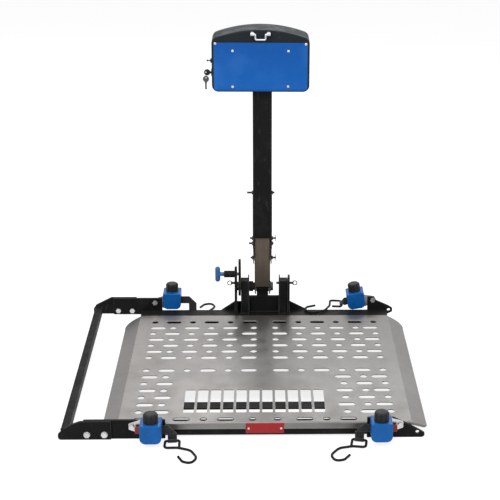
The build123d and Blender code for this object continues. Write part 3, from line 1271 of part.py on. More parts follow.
def make_pieces():
    pieces = {
        "outer_mast": make_outer_mast(),
        "inner_mast": make_inner_mast(),
        "pivot_bushes": make_pivot_bushes(),
        "pivot_sleeve": make_pivot_sleeve(),
        "lock_quadrant": make_lock_quadrant(),
        "wear_pads": make_wear_pads(),
        "adjuster_screws": make_adjuster_screws(),
        "hitch_bracket": make_hitch_bracket(),
        "hitch_tube": make_hitch_tube(),
        "head_cover": make_head_cover(),
        "head_chassis": make_head_chassis(),
        "sign_plate": make_sign_plate(),
        "sign_fasteners": make_sign_fasteners(),
        "cover_screws": make_cover_screws(),
        "bail_ears": make_bail_ears(),
        "bail_handle": make_bail_handle(),
        "screw_bearing": make_screw_bearing(),
        "lift_screw": make_lift_screw(),
        "motor_pulley": make_motor_pulley(),
        "drive_belt": make_drive_belt(),
        "lift_motor": make_lift_motor(),
        "drive_nut": make_drive_nut(),
        "control_board": make_control_board(),
        "switch_bodies": make_switch_bodies(),
        "toggle_lever": make_toggle_lever(),
        "ignition_key": make_ignition_key(),
        "spare_key": make_spare_key(),
        "deck_sheet": make_deck_sheet(),
        "back_rail": make_back_rail(),
        "front_rail": make_front_rail(),
        "under_frame": make_under_frame(),
        "window_bar": make_window_bar(),
        "reflector": make_reflector(),
        "reflector_rivets": make_reflector_rivets(),
        "foot_bracket": make_foot_bracket(),
        "swing_frame": make_swing_frame(),
        "pivot_bolt": make_pivot_bolt(),
        "right_ring_pin": ring_pin(RIGHT_PIN_X, 1),
        "left_ring_pin": ring_pin(LEFT_PIN_X, -1),
        "plunger_barrel": make_plunger_barrel(),
        "lock_plunger": make_lock_plunger(),
        "plunger_spring": make_plunger_spring(),
        "corner_plates": make_corner_plates(),
        "side_loop": make_side_loop(),
        "platform_bolts": make_platform_bolts(),
        "tie_down_straps": make_tie_down_straps(),
    }
    frames = []
    covers = []
    for name, corner in CORNERS.items():
        frames.append(corner.place(retractor_frame()))
        covers.append(corner.place(retractor_cover(name.startswith("rear"))))
        pieces["spool_" + name] = corner.place(retractor_spool())
        pieces["lever_" + name] = corner.place(retractor_lever())
        pieces["hook_" + name] = tie_down_hook(corner, name)
    pieces["retractor_frames"] = solid_list(frames)
    pieces["retractor_covers"] = solid_list(covers)
    return pieces


os.makedirs("parts", exist_ok=True)
for piece_name, piece in make_pieces().items():
    export_step(piece, os.path.join("parts", piece_name + ".step"))
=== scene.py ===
"""Looks of a hitch-carried platform lift for a mobility scooter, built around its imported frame."""
import math

import bmesh
import bpy
from mathutils import Euler, Matrix, Vector


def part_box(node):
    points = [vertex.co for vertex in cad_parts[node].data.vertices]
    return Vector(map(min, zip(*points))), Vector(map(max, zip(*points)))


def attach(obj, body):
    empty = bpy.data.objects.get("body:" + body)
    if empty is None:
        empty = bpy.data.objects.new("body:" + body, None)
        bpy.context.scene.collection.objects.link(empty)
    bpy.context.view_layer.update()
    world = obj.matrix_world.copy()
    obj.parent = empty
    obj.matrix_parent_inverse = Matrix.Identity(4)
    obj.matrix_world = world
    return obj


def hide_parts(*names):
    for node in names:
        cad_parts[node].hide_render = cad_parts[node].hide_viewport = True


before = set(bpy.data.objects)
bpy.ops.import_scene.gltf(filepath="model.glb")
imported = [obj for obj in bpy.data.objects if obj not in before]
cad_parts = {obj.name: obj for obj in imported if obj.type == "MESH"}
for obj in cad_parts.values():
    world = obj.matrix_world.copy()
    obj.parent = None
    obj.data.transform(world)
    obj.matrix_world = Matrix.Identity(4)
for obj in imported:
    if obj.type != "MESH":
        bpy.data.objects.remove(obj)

bl_info = {
    "name": "Scooter lift looks",
    "version": (1, 0, 0),
    "blender": (4, 5, 0),
    "location": "View3D > Sidebar > Scooter lift",
    "description": "Finishes and fine detail of a platform lift for a mobility scooter",
    "category": "Object",
}

CORNERS = ("front_left", "front_right", "rear_left", "rear_right")
EVEN = (1, 1, 1)
WHITE = (1, 1, 1, 1)

# Photograph's viewpoint, in the frame's metres and in pixels of its 500 by 500 picture
CAMERA_PLACE = Vector((-0.00243, -3.95883, 1.72753))
CAMERA_RIGHT = Vector((0.9994675, -0.0309895, 0.0102128))
CAMERA_DOWN = Vector((-0.0009844, -0.3414940, -0.9398834))
CAMERA_FORWARD = Vector((0.0326141, 0.9393729, -0.3413427))
PICTURE_SIZE = 500.0
FOCAL_PIXELS = 1319.17
CENTRE_PIXEL = (304.674, 240.083)
SENSOR = 36.0

# Studio: the lamps, and how pale floor and world are as light and as the background that is seen
LAMPS = {
    "key": {"place": (-1.6, -2.6, 3.4), "size": (3.0, 3.0), "power": 92.0},
    "fill": {"place": (2.6, -2.0, 2.2), "size": (2.4, 2.4), "power": 36.0},
    "top": {"place": (0.0, -0.3, 4.0), "size": (4.0, 4.0), "power": 46.0},
    "back": {"place": (0.5, 2.8, 2.6), "size": (3.0, 1.6), "power": 34.0},
}
LAMP_AIM = Vector((0, -0.3, 0.3))
FLOOR_LIT = 0.80
FLOOR_SEEN = 0.36
FLOOR_GLOW = 0.80
FLOOR_ROUGHNESS = 0.95
WORLD_LIT = 0.42
WORLD_SEEN = 1.0

# Tie-downs, at the places of the frame's retractors and hook bars
FLAT_STRAPS = {
    "front_left": {
        "at": (-0.299, -0.776, 0.012),
        "bar": (-0.243, -0.7997, 0.0056),
        "along": 1,
        "out": -1,
        "yaw": 6.0,
    },
    "front_right": {
        "at": (0.319, -0.776, 0.014),
        "bar": (0.2615, -0.7997, 0.0056),
        "along": -1,
        "out": -1,
        "yaw": -13.7,
    },
    "rear_left": {
        "at": (-0.2945, 0.018, 0.043),
        "bar": (-0.228, 0.0417, 0.0056),
        "along": 1,
        "out": 1,
        "yaw": -6.0,
    },
}
TURNED_STRAP = {"at": (0.310, 0.018, 0.043), "bar": (0.258, 0.035, 0.053972), "tilt": -9.0, "lean": 6.0}

# Webbing: its place in a retractor, its fold, its turn and its wrap round the hook's bar
STRAP_WIDTH = 0.025
STRAP_LOW = 0.0125
STRAP_SIDE = 0.0199
STRAP_START = 0.004
TURN_START = 0.0295
COVER_END = 0.031
BAR_RADIUS = 0.0035
BAR_CLEARANCE = 0.0004
FOLD_SPACING = 1.15
FOLD_ROUND = 0.0008
EDGE_THINNING = 0.55
EDGE_POWER = 6
EYE_TURN = 270
ACROSS_STEPS = 6
LEVEL_STEPS = 6
FOLD_STEPS = 5
LEAD_STEPS = 4
TURN_STEPS = 8
EYE_STEPS = 12

# Stitches: rows across a strap above its hook, and rows along the edges of its level length
STITCH_WIDTH = 0.0007
STITCH_SPACING = 1.25
STITCH_LIFT = 0.45
STITCH_BACK = 1.1
STITCH_ABOVE_BAR = 0.02
STITCH_ROWS = (0.002, 0.007)
STITCH_END = 0.003
STITCH_EDGE = 0.0016

# Welds on the platform: posts, cross plate, cheeks and gusset on the rear rail, guard arms, cross bar
POST_X = ((-0.069, -0.0465), (0.0565, 0.0808))
POST_FRONT = -0.020
CROSS_PLATE_X = (-0.0425, 0.0525)
CROSS_PLATE_Y = (-0.004, 0.004)
CHEEK_X = (-0.0815, 0.088)
CHEEK_FRONT = -0.028
GUSSET_X = ((-0.1305, -0.115), (0.12, 0.1425))
ARM_EDGES = (0.0090, 0.0310)
ARM_WELDS = ((0.018, 0.033, 0.050), (-0.776, 0.014, 0.031))
CROSS_BAR_INSET = 0.025
CROSS_BAR_Y = (-0.3855, -0.4105)
CROSS_BAR_WELD = 0.005

# Welds on the mast: the hitch bar's end and the rib below it
TUBE_CORNER = 0.004
RIB_X = (-0.004, 0.004)
RIB_FOOT = 0.008
BEAD_STRETCH = 2.2

# Mast's adjusting screws: height, reach of both ends past the mast, and what the right end's head covers
ADJUSTERS = (
    {"level": 0.2297, "left": 0.0086, "right": 0.0141, "right_head": 0.0022},
    {"level": 0.2785, "left": 0.0132, "right": 0.006, "right_head": 0.0002},
    {"level": 0.296, "left": 0.010, "right": 0.0139, "right_head": 0.0022},
    {"level": 0.4486, "left": 0.0188, "right": 0.0088, "right_head": 0.0002},
)
JAM_NUT = 0.0042
THREAD_END = 0.0002
THREAD_WIDTH = 0.0064
THREAD_SHARE = 0.5

# Small shapes that Geometry Nodes repeat, one unit across
UNIT_RADIUS = 0.5
RING_SIDES = 14
BEAD_SEGMENTS = 10
BEAD_RINGS = 6
PATH_SIZES = {"Spacing": 0.002, "Length": 0.002, "Width": 0.004}

# Finishes
BEVEL_SAMPLES = 6
NOISE_ROUGHNESS = 0.55
COAT_IOR = 1.22
COATED_NODES = (
    "outer_mast", "hitch_bracket", "hitch_tube", "back_rail", "front_rail", "under_frame", "window_bar",
    "foot_bracket", "swing_frame", "lock_quadrant", "pivot_sleeve", "corner_plates", "side_loop",
    "plunger_barrel",
)
METALS = {
    "zinc_plate": {
        "colour": (0.62, 0.62, 0.63, 1),
        "roughness": 0.3,
        "nodes": ("sign_fasteners", "cover_screws", "reflector_rivets", "platform_bolts", "retractor_frames"),
    },
    "black_oxide": {
        "colour": (0.05, 0.048, 0.047, 1),
        "roughness": 0.38,
        "metallic": 0.6,
        "nodes": ("adjuster_screws", "pivot_bolt", "right_ring_pin", "left_ring_pin", "toggle_lever"),
    },
    "chrome_plate": {
        "colour": (0.62, 0.62, 0.63, 1),
        "roughness": 0.14,
        "blotch": 0.3,
        "nodes": ("bail_ears", "bail_handle"),
    },
    "oiled_steel": {
        "colour": (0.35, 0.34, 0.33, 1),
        "roughness": 0.35,
        "nodes": ("lift_screw", "plunger_spring"),
    },
    "bronze": {
        "colour": (0.55, 0.36, 0.16, 1),
        "roughness": 0.35,
        "nodes": ("drive_nut", "pivot_bushes"),
    },
    "machined_alloy": {
        "colour": (0.6, 0.6, 0.62, 1),
        "roughness": 0.32,
        "nodes": ("motor_pulley", "screw_bearing"),
    },
    "worn_key": {
        "colour": (0.10, 0.10, 0.10, 1),
        "roughness": 0.4,
        "metallic": 0.7,
        "nodes": ("spare_key",),
    },
}
HEAD_PLASTICS = {
    "switch_black": {
        "colour": (0.014, 0.014, 0.015, 1),
        "roughness": 0.35,
        "nodes": ("switch_bodies", "ignition_key"),
    },
    "slide_pad": {"colour": (0.75, 0.75, 0.72, 1), "roughness": 0.45, "nodes": ("wear_pads",)},
    "belt_rubber": {"colour": (0.012, 0.012, 0.012, 1), "roughness": 0.7, "nodes": ("drive_belt",)},
    "circuit_board": {"colour": (0.02, 0.2, 0.06, 1), "roughness": 0.35, "nodes": ("control_board",)},
}


class LiftFinish(bpy.types.PropertyGroup):
    """Colours of the lift's finishes."""

    coat: bpy.props.FloatVectorProperty(
        name="Coat", description="Black powder coat",
        subtype="COLOR", size=4, default=(0.0085, 0.0085, 0.0088, 1))
    coat_worn: bpy.props.FloatVectorProperty(
        name="Worn coat", description="Coat where edges are rubbed",
        subtype="COLOR", size=4, default=(0.045, 0.044, 0.043, 1))
    deck: bpy.props.FloatVectorProperty(
        name="Deck", description="Bare plated deck sheet",
        subtype="COLOR", size=4, default=(0.215, 0.208, 0.20, 1))
    deck_dull: bpy.props.FloatVectorProperty(
        name="Dull deck", description="Deck where tyres have rubbed it",
        subtype="COLOR", size=4, default=(0.14, 0.134, 0.126, 1))
    bare_tube: bpy.props.FloatVectorProperty(
        name="Bare tube", description="Uncoated sliding tube",
        subtype="COLOR", size=4, default=(0.155, 0.12, 0.09, 1))
    head: bpy.props.FloatVectorProperty(
        name="Head", description="Cover of the head",
        subtype="COLOR", size=4, default=(0.019, 0.025, 0.027, 1))
    sign_top: bpy.props.FloatVectorProperty(
        name="Sign top", description="Upper blue of the sign",
        subtype="COLOR", size=4, default=(0.001, 0.085, 0.36, 1))
    sign_low: bpy.props.FloatVectorProperty(
        name="Sign low", description="Lower blue of the sign",
        subtype="COLOR", size=4, default=(0.002, 0.105, 0.42, 1))
    cover: bpy.props.FloatVectorProperty(
        name="Retractor cover", description="Moulded blue",
        subtype="COLOR", size=4, default=(0.002, 0.105, 0.37, 1))
    grip: bpy.props.FloatVectorProperty(
        name="Plunger grip", description="Dipped blue grip",
        subtype="COLOR", size=4, default=(0.06, 0.15, 0.40, 1))
    release: bpy.props.FloatVectorProperty(
        name="Release lever", description="Dark red coat",
        subtype="COLOR", size=4, default=(0.25, 0.055, 0.04, 1))
    lens: bpy.props.FloatVectorProperty(
        name="Reflector", description="Red lens",
        subtype="COLOR", size=4, default=(0.50, 0.009, 0.016, 1))


class LiftDetail(bpy.types.PropertyGroup):
    """Sizes of the lift's fine detail."""

    bead_width: bpy.props.FloatProperty(
        name="Weld width", description="Width of a weld bead",
        default=0.0042, min=0.002, max=0.01, unit="LENGTH")
    bead_pitch: bpy.props.FloatProperty(
        name="Weld pitch", description="Distance between two ripples",
        default=0.0022, min=0.001, max=0.01, unit="LENGTH")
    thread_pitch: bpy.props.FloatProperty(
        name="Thread pitch", description="Pitch of the adjusters' threads",
        default=0.001, min=0.0005, max=0.002, unit="LENGTH")
    stitch_length: bpy.props.FloatProperty(
        name="Stitch length", description="Length of a webbing stitch",
        default=0.0024, min=0.001, max=0.005, unit="LENGTH")
    strap_thickness: bpy.props.FloatProperty(
        name="Strap thickness", description="Thickness of the webbing",
        default=0.0015, min=0.0008, max=0.003, unit="LENGTH")
    floor_size: bpy.props.FloatProperty(
        name="Floor", description="Side of the studio floor",
        default=60.0, min=10.0, max=200.0, unit="LENGTH")


def finish_settings():
    return bpy.context.scene.lift_finish


def detail_settings():
    return bpy.context.scene.lift_detail


# Material building


class Paint:
    """One procedural material on object coordinates."""

    def __init__(self, name, colour, roughness, metallic=0.0, specular=0.5, ior=1.5):
        self.material = bpy.data.materials.new(name)
        self.material.use_nodes = True
        self.nodes = self.material.node_tree.nodes
        self.links = self.material.node_tree.links
        self.shader = self.nodes["Principled BSDF"]
        self.shader.inputs["Base Color"].default_value = tuple(colour)
        self.shader.inputs["Roughness"].default_value = roughness
        self.shader.inputs["Metallic"].default_value = metallic
        self.shader.inputs["Specular IOR Level"].default_value = specular
        self.shader.inputs["IOR"].default_value = ior
        self.coordinates = self.nodes.new("ShaderNodeTexCoord")
        self.material.diffuse_color = tuple(colour)

    def place(self, scale=EVEN, source="Object"):
        mapping = self.nodes.new("ShaderNodeMapping")
        mapping.inputs["Scale"].default_value = scale
        self.links.new(self.coordinates.outputs[source], mapping.inputs["Vector"])
        return mapping.outputs["Vector"]

    def noise(self, scale, detail, rough=NOISE_ROUGHNESS, stretch=EVEN):
        node = self.nodes.new("ShaderNodeTexNoise")
        node.inputs["Scale"].default_value = scale
        node.inputs["Detail"].default_value = detail
        node.inputs["Roughness"].default_value = rough
        self.links.new(self.place(stretch), node.inputs["Vector"])
        return node.outputs["Fac"]

    def ramp(self, value, low, high, low_value=0.0, high_value=1.0):
        node = self.nodes.new("ShaderNodeMapRange")
        node.inputs["From Min"].default_value = low
        node.inputs["From Max"].default_value = high
        node.inputs["To Min"].default_value = low_value
        node.inputs["To Max"].default_value = high_value
        self.links.new(value, node.inputs["Value"])
        return node.outputs["Result"]

    def patches(self, scale, detail, low, high, rough=NOISE_ROUGHNESS, stretch=EVEN):
        """Share from 0 to 1 as a noise goes from one level to another."""
        return self.ramp(self.noise(scale, detail, rough, stretch), low, high)

    def math(self, operation, first, second=0.0):
        node = self.nodes.new("ShaderNodeMath")
        node.operation = operation
        for socket, value in zip(node.inputs, (first, second)):
            if isinstance(value, (int, float)):
                socket.default_value = value
            else:
                self.links.new(value, socket)
        return node.outputs["Value"]

    def part(self, share, amount):
        return self.math("MULTIPLY", share, amount)

    def mix(self, share, first, second):
        node = self.nodes.new("ShaderNodeMix")
        node.data_type = "RGBA"
        for name, value in (("A", first), ("B", second)):
            socket = [s for s in node.inputs if s.name == name and s.type == "RGBA"][0]
            if isinstance(value, bpy.types.NodeSocket):
                self.links.new(value, socket)
            else:
                socket.default_value = tuple(value)
        self.links.new(share, node.inputs["Factor"])
        return [s for s in node.outputs if s.type == "RGBA"][0]

    def position(self, axis):
        split = self.nodes.new("ShaderNodeSeparateXYZ")
        self.links.new(self.coordinates.outputs["Object"], split.inputs["Vector"])
        return split.outputs[axis]

    def rounded_normal(self, radius):
        bevel = self.nodes.new("ShaderNodeBevel")
        bevel.samples = BEVEL_SAMPLES
        bevel.inputs["Radius"].default_value = radius
        return bevel.outputs["Normal"]

    def edges(self, radius, low=0.02, high=0.35):
        """Share from 0 on flat faces to 1 on sharp edges."""
        plain = self.nodes.new("ShaderNodeNewGeometry")
        gap = self.nodes.new("ShaderNodeVectorMath")
        gap.operation = "DISTANCE"
        self.links.new(self.rounded_normal(radius), gap.inputs[0])
        self.links.new(plain.outputs["Normal"], gap.inputs[1])
        return self.ramp(gap.outputs["Value"], low, high)

    def colour(self, socket):
        self.links.new(socket, self.shader.inputs["Base Color"])

    def vary_roughness(self, scale, detail, smooth, dull):
        """Roughness that wanders between two values."""
        spread = self.ramp(self.noise(scale, detail), 0.3, 0.7, smooth, dull)
        self.links.new(spread, self.shader.inputs["Roughness"])

    def bump(self, height, distance, strength, rounding=0.0):
        node = self.nodes.new("ShaderNodeBump")
        node.inputs["Strength"].default_value = strength
        node.inputs["Distance"].default_value = distance
        self.links.new(height, node.inputs["Height"])
        if rounding:
            self.links.new(self.rounded_normal(rounding), node.inputs["Normal"])
        self.links.new(node.outputs["Normal"], self.shader.inputs["Normal"])


def lighter(colour, factor):
    return (*[min(value * factor, 1.0) for value in colour[:3]], 1.0)


def coated_steel(name, colour, worn, roughness=0.5, wear=0.8, specular=0.3):
    """Powder coat with a fine orange peel, dust and rubbed edges."""
    paint = Paint(name, colour, roughness, specular=specular, ior=COAT_IOR)
    dust = paint.patches(14, 5, 0.52, 0.78)
    base = paint.mix(paint.part(dust, 0.3), colour, worn)
    scuffs = paint.patches(90, 3, 0.62, 0.72, stretch=(1, 1, 0.3))
    rub = paint.part(paint.edges(0.0016), wear)
    share = paint.math("MAXIMUM", rub, paint.part(scuffs, 0.2))
    paint.colour(paint.mix(share, base, lighter(worn, 1.9)))
    paint.vary_roughness(30, 3, roughness - 0.08, roughness + 0.14)
    paint.bump(paint.noise(1400, 2), 0.0002, 0.5, rounding=0.0007)
    return paint.material


def moulded_plastic(name, colour, roughness=0.35, grain=900.0):
    """Moulded plastic with a fine grain and a few scratches."""
    paint = Paint(name, colour, roughness, specular=0.2)
    tone = paint.patches(25, 4, 0.35, 0.7)
    scratches = paint.patches(60, 6, 0.63, 0.7, rough=0.7, stretch=(1, 1, 6))
    base = paint.mix(tone, lighter(colour, 0.82), lighter(colour, 1.12))
    paint.colour(paint.mix(paint.part(scratches, 0.3), base, lighter(colour, 2.2)))
    paint.vary_roughness(40, 4, roughness - 0.06, roughness + 0.12)
    paint.bump(paint.noise(grain, 2), 0.0001, 0.6, rounding=0.0009)
    return paint.material


def plated_metal(name, colour, roughness, metallic=1.0, blotch=0.5):
    """Plated or machined metal with faint cloudy patches and fine scratches."""
    paint = Paint(name, colour, roughness, metallic)
    clouds = paint.patches(60, 5, 0.4, 0.68)
    paint.colour(paint.mix(paint.part(clouds, blotch), colour, lighter(colour, 0.55)))
    paint.vary_roughness(220, 3, max(roughness - 0.1, 0.05), roughness + 0.12)
    paint.bump(paint.noise(700, 3, stretch=(1, 1, 8)), 0.00008, 0.5, rounding=0.0004)
    return paint.material


def paint_nodes(names, material):
    """Give carried-over nodes a finish."""
    for name in names:
        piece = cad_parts[name]
        piece.data.materials.clear()
        piece.data.materials.append(material)


def paint_table(table, recipe):
    """Make each finish of a table with one recipe, and give it to its nodes."""
    for name, entry in table.items():
        look = {key: value for key, value in entry.items() if key != "nodes"}
        paint_nodes(entry["nodes"], recipe(name, **look))


# Mesh and Geometry Nodes building


def unit_shape(nodes, ring):
    """A ring's disc or a bead's ball, one unit across."""
    if ring:
        shape = nodes.new("GeometryNodeMeshCylinder")
        shape.inputs["Vertices"].default_value = RING_SIDES
        shape.inputs["Depth"].default_value = 2 * UNIT_RADIUS
    else:
        shape = nodes.new("GeometryNodeMeshUVSphere")
        shape.inputs["Segments"].default_value = BEAD_SEGMENTS
        shape.inputs["Rings"].default_value = BEAD_RINGS
    shape.inputs["Radius"].default_value = UNIT_RADIUS
    return shape


def path_tree(name, ring):
    """Tree that sets a small shape along every edge path: a bead or stitch, or a ring for a thread."""
    tree = bpy.data.node_groups.new(name, "GeometryNodeTree")
    tree.interface.new_socket("Geometry", in_out="INPUT", socket_type="NodeSocketGeometry")
    for label, value in PATH_SIZES.items():
        socket = tree.interface.new_socket(label, in_out="INPUT", socket_type="NodeSocketFloat")
        socket.default_value = value
    tree.interface.new_socket("Finish", in_out="INPUT", socket_type="NodeSocketMaterial")
    tree.interface.new_socket("Geometry", in_out="OUTPUT", socket_type="NodeSocketGeometry")
    nodes = tree.nodes
    links = tree.links
    start = nodes.new("NodeGroupInput")
    curve = nodes.new("GeometryNodeMeshToCurve")
    spread = nodes.new("GeometryNodeResampleCurve")
    spread.mode = "LENGTH"
    tangent = nodes.new("GeometryNodeInputTangent")
    align = nodes.new("FunctionNodeAlignRotationToVector")
    align.axis = "Z"
    shape = unit_shape(nodes, ring)
    size = nodes.new("ShaderNodeCombineXYZ")
    place = nodes.new("GeometryNodeInstanceOnPoints")
    real = nodes.new("GeometryNodeRealizeInstances")
    finish = nodes.new("GeometryNodeSetMaterial")
    end = nodes.new("NodeGroupOutput")
    links.new(start.outputs["Geometry"], curve.inputs["Mesh"])
    links.new(curve.outputs["Curve"], spread.inputs["Curve"])
    links.new(start.outputs["Spacing"], spread.inputs["Length"])
    links.new(spread.outputs["Curve"], place.inputs["Points"])
    links.new(tangent.outputs["Tangent"], align.inputs["Vector"])
    links.new(align.outputs["Rotation"], place.inputs["Rotation"])
    for axis, label in (("X", "Width"), ("Y", "Width"), ("Z", "Length")):
        links.new(start.outputs[label], size.inputs[axis])
    links.new(size.outputs["Vector"], place.inputs["Scale"])
    links.new(shape.outputs["Mesh"], place.inputs["Instance"])
    links.new(place.outputs["Instances"], real.inputs["Geometry"])
    links.new(real.outputs["Geometry"], finish.inputs["Geometry"])
    links.new(start.outputs["Finish"], finish.inputs["Material"])
    links.new(finish.outputs["Geometry"], end.inputs["Geometry"])
    return tree


def add_object(name, mesh):
    piece = bpy.data.objects.new(name, mesh)
    bpy.context.scene.collection.objects.link(piece)
    return piece


def along_paths(name, paths, tree, sizes, material, body):
    """Run a path tree over polylines and keep the plain mesh that it makes."""
    points = []
    edges = []
    for path in paths:
        first = len(points)
        points.extend(path)
        edges.extend((first + index, first + index + 1) for index in range(len(path) - 1))
    mesh = bpy.data.meshes.new(name + "_paths")
    mesh.from_pydata(points, edges, [])
    carrier = add_object(name + "_paths", mesh)
    modifier = carrier.modifiers.new("Detail", "NODES")
    modifier.node_group = tree
    sockets = {s.name: s.identifier for s in tree.interface.items_tree if s.in_out == "INPUT"}
    for label, value in sizes.items():
        modifier[sockets[label]] = value
    modifier[sockets["Finish"]] = material
    depsgraph = bpy.context.evaluated_depsgraph_get()
    made = bpy.data.meshes.new_from_object(carrier.evaluated_get(depsgraph))
    made.name = name
    bpy.data.objects.remove(carrier)
    for polygon in made.polygons:
        polygon.use_smooth = True
    piece = add_object(name, made)
    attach(piece, body)


# Straps


def crowned_rows(bm, left, right, middle, thickness):
    """Rows of points on both faces of the webbing, which thins towards its edges."""
    rows = {1: [], -1: []}
    last = len(middle) - 1
    for index in range(last + 1):
        before = middle[max(index - 1, 0)]
        after = middle[min(index + 1, last)]
        normal = (after - before).cross(right[index] - left[index]).normalized()
        for side in rows:
            row = []
            for step in range(ACROSS_STEPS + 1):
                share = step / ACROSS_STEPS
                crown = 1.0 - EDGE_THINNING * abs(2 * share - 1) ** EDGE_POWER
                lift = normal * (side * thickness / 2 * crown)
                row.append(bm.verts.new(left[index].lerp(right[index], share) + lift))
            rows[side].append(row)
    return rows


def ribbon(name, rims, thickness, material):
    """Webbing through pairs of edge points, with its length and width in a UV map."""
    left = [Vector(rim[0]) for rim in rims]
    right = [Vector(rim[1]) for rim in rims]
    middle = [(a + b) / 2 for a, b in zip(left, right)]
    distance = [0.0]
    for before, after in zip(middle, middle[1:]):
        distance.append(distance[-1] + (after - before).length)
    bm = bmesh.new()
    layer = bm.loops.layers.uv.new("Weave")
    rows = crowned_rows(bm, left, right, middle, thickness)
    last = len(rims) - 1

    def quad(corners, marks):
        face = bm.faces.new([rows[side][index][step] for side, index, step in corners])
        face.smooth = True
        for loop, (index, step) in zip(face.loops, marks):
            loop[layer].uv = (distance[index], step / ACROSS_STEPS * STRAP_WIDTH)

    for side in rows:
        for index in range(last):
            for step in range(ACROSS_STEPS):
                marks = [(index, step), (index, step + 1), (index + 1, step + 1), (index + 1, step)]
                quad([(side, *mark) for mark in marks], marks)
    for index in range(last):
        for step in (0, ACROSS_STEPS):
            marks = [(index, step), (index + 1, step), (index + 1, step), (index, step)]
            quad([(side, *mark) for side, mark in zip((1, 1, -1, -1), marks)], marks)
    for index in (0, last):
        for step in range(ACROSS_STEPS):
            corners = [(1, index, step), (1, index, step + 1), (-1, index, step + 1), (-1, index, step)]
            quad(corners, [(index, step)] * 4)
    bmesh.ops.recalc_face_normals(bm, faces=bm.faces)
    mesh = bpy.data.meshes.new(name)
    bm.to_mesh(mesh)
    bm.free()
    mesh.materials.append(material)
    return add_object(name, mesh)


def wrap_radius(thickness):
    """From the middle of the hook's bar to the middle of the webbing round it."""
    return BAR_RADIUS + BAR_CLEARANCE + thickness / 2


def eye_rims(centre, axis, start, thickness, turn):
    """Rims that wrap the strap round the hook's bar and back along itself."""
    rims = []
    radius = wrap_radius(thickness)
    half = axis * (STRAP_WIDTH / 2)
    for step in range(1, EYE_STEPS + 1):
        spin = Matrix.Rotation(math.radians(turn * EYE_TURN * step / EYE_STEPS), 3, axis)
        place = centre + spin @ (start * radius)
        rims.append((place - half, place + half))
    return rims


def flat_strap_rims(spec, thickness):
    """Rims of a strap that leaves its cover level, folds on the bias and goes down to the hook."""
    base = Vector(spec["at"])
    bar = Vector(spec["bar"])
    along = spec["along"]
    out = spec["out"]
    side = base.y + out * STRAP_SIDE
    behind = side - out * thickness * FOLD_SPACING
    crease = (side + behind) / 2
    low = base.z + STRAP_LOW
    high = low + STRAP_WIDTH
    start = base.x + along * STRAP_START
    near = bar.x - along * STRAP_WIDTH / 2
    far = bar.x + along * STRAP_WIDTH / 2
    rims = []
    for step in range(LEVEL_STEPS + 1):
        x = start + (near - start) * step / LEVEL_STEPS
        rims.append(((x, side, low), (x, side, high)))
    for step in range(1, FOLD_STEPS):
        share = step / FOLD_STEPS
        rims.append(((near + (far - near) * share, side, low), (near, side, high)))
    lower = (far + along * FOLD_ROUND, crease, low)
    upper = (near + along * FOLD_ROUND, crease, high + FOLD_ROUND)
    rims.append((lower, upper))
    for step in range(1, FOLD_STEPS + 1):
        share = step / FOLD_STEPS
        rims.append(((far, behind, low), (near, behind, high + (low - high) * share)))
    axis = Matrix.Rotation(math.radians(spec["yaw"]), 3, "Z") @ Vector((1, 0, 0))
    level_half = Vector((along * STRAP_WIDTH / 2, 0, 0))
    yawed_half = axis * (along * STRAP_WIDTH / 2)
    inward = Vector((0, 1, 0)) * (-out)
    hanging = Vector((bar.x, behind, low))
    first = bar + inward * wrap_radius(thickness)
    for step in range(1, FOLD_STEPS + 1):
        share = step / FOLD_STEPS
        centre = hanging.lerp(first, share)
        half = level_half.lerp(yawed_half, share)
        rims.append((centre + half, centre - half))
    for rim in eye_rims(bar, axis, inward, thickness, out):
        rims.append((rim[1], rim[0]) if along > 0 else rim)
    return rims


def turned_strap_rims(spec, thickness):
    """Rims of the strap that turns from upright at its cover to flat at its hook."""
    tilt = math.radians(-spec["tilt"])
    up = Vector((-math.sin(tilt), 0, math.cos(tilt)))
    out = Vector((-math.cos(tilt), 0, -math.sin(tilt)))
    root = Vector(spec["at"]) + Vector((0, STRAP_SIDE, 0)) + up * (STRAP_LOW + STRAP_WIDTH / 2)
    bar = Vector(spec["bar"])
    axis = Euler((math.radians(spec["lean"]), 0, 0)).to_matrix() @ Vector((0, 1, 0))
    rise = Vector((0, 0, 1))
    begin = root + out * STRAP_START
    leave = root + out * TURN_START
    end = bar + rise * wrap_radius(thickness)
    rims = []
    for step in range(LEAD_STEPS + 1):
        centre = begin.lerp(leave, step / LEAD_STEPS)
        rims.append((centre - up * STRAP_WIDTH / 2, centre + up * STRAP_WIDTH / 2))
    for step in range(1, TURN_STEPS + 1):
        share = step / TURN_STEPS
        smooth = share * share * (3 - 2 * share)
        centre = leave.lerp(end, share)
        width = up.lerp(axis, smooth).normalized()
        rims.append((centre - width * STRAP_WIDTH / 2, centre + width * STRAP_WIDTH / 2))
    return rims + eye_rims(bar, axis, rise, thickness, -1)


def webbing_material():
    """Black webbing: slanted ribs on the piece's own UV map, with painted shade in their furrows and painted
    light on their tops, fuzz and dust.
    """
    # Painted shade: darker tone for the furrows of the weave
    furrow = (0.006, 0.006, 0.007, 1)
    # Painted light: lighter tone for the ribs of the weave
    rib = (0.022, 0.022, 0.024, 1)
    dusty = (0.05, 0.048, 0.045, 1)
    paint = Paint("strap_webbing", (0.011, 0.011, 0.012, 1), 0.85, specular=0.25)
    paint.shader.inputs["Sheen Weight"].default_value = 0.35
    paint.shader.inputs["Sheen Roughness"].default_value = 0.5
    ribs = paint.nodes.new("ShaderNodeTexWave")
    ribs.wave_type = "BANDS"
    ribs.bands_direction = "DIAGONAL"
    ribs.inputs["Scale"].default_value = 260.0
    ribs.inputs["Distortion"].default_value = 0.6
    paint.links.new(paint.place(source="UV"), ribs.inputs["Vector"])
    dust = paint.patches(45, 4, 0.45, 0.8)
    # Painted shade in the furrows and painted light on the ribs
    base = paint.mix(ribs.outputs["Fac"], furrow, rib)
    paint.colour(paint.mix(paint.part(dust, 0.4), base, dusty))
    paint.bump(ribs.outputs["Fac"], 0.0003, 0.8)
    return paint.material


# Operators


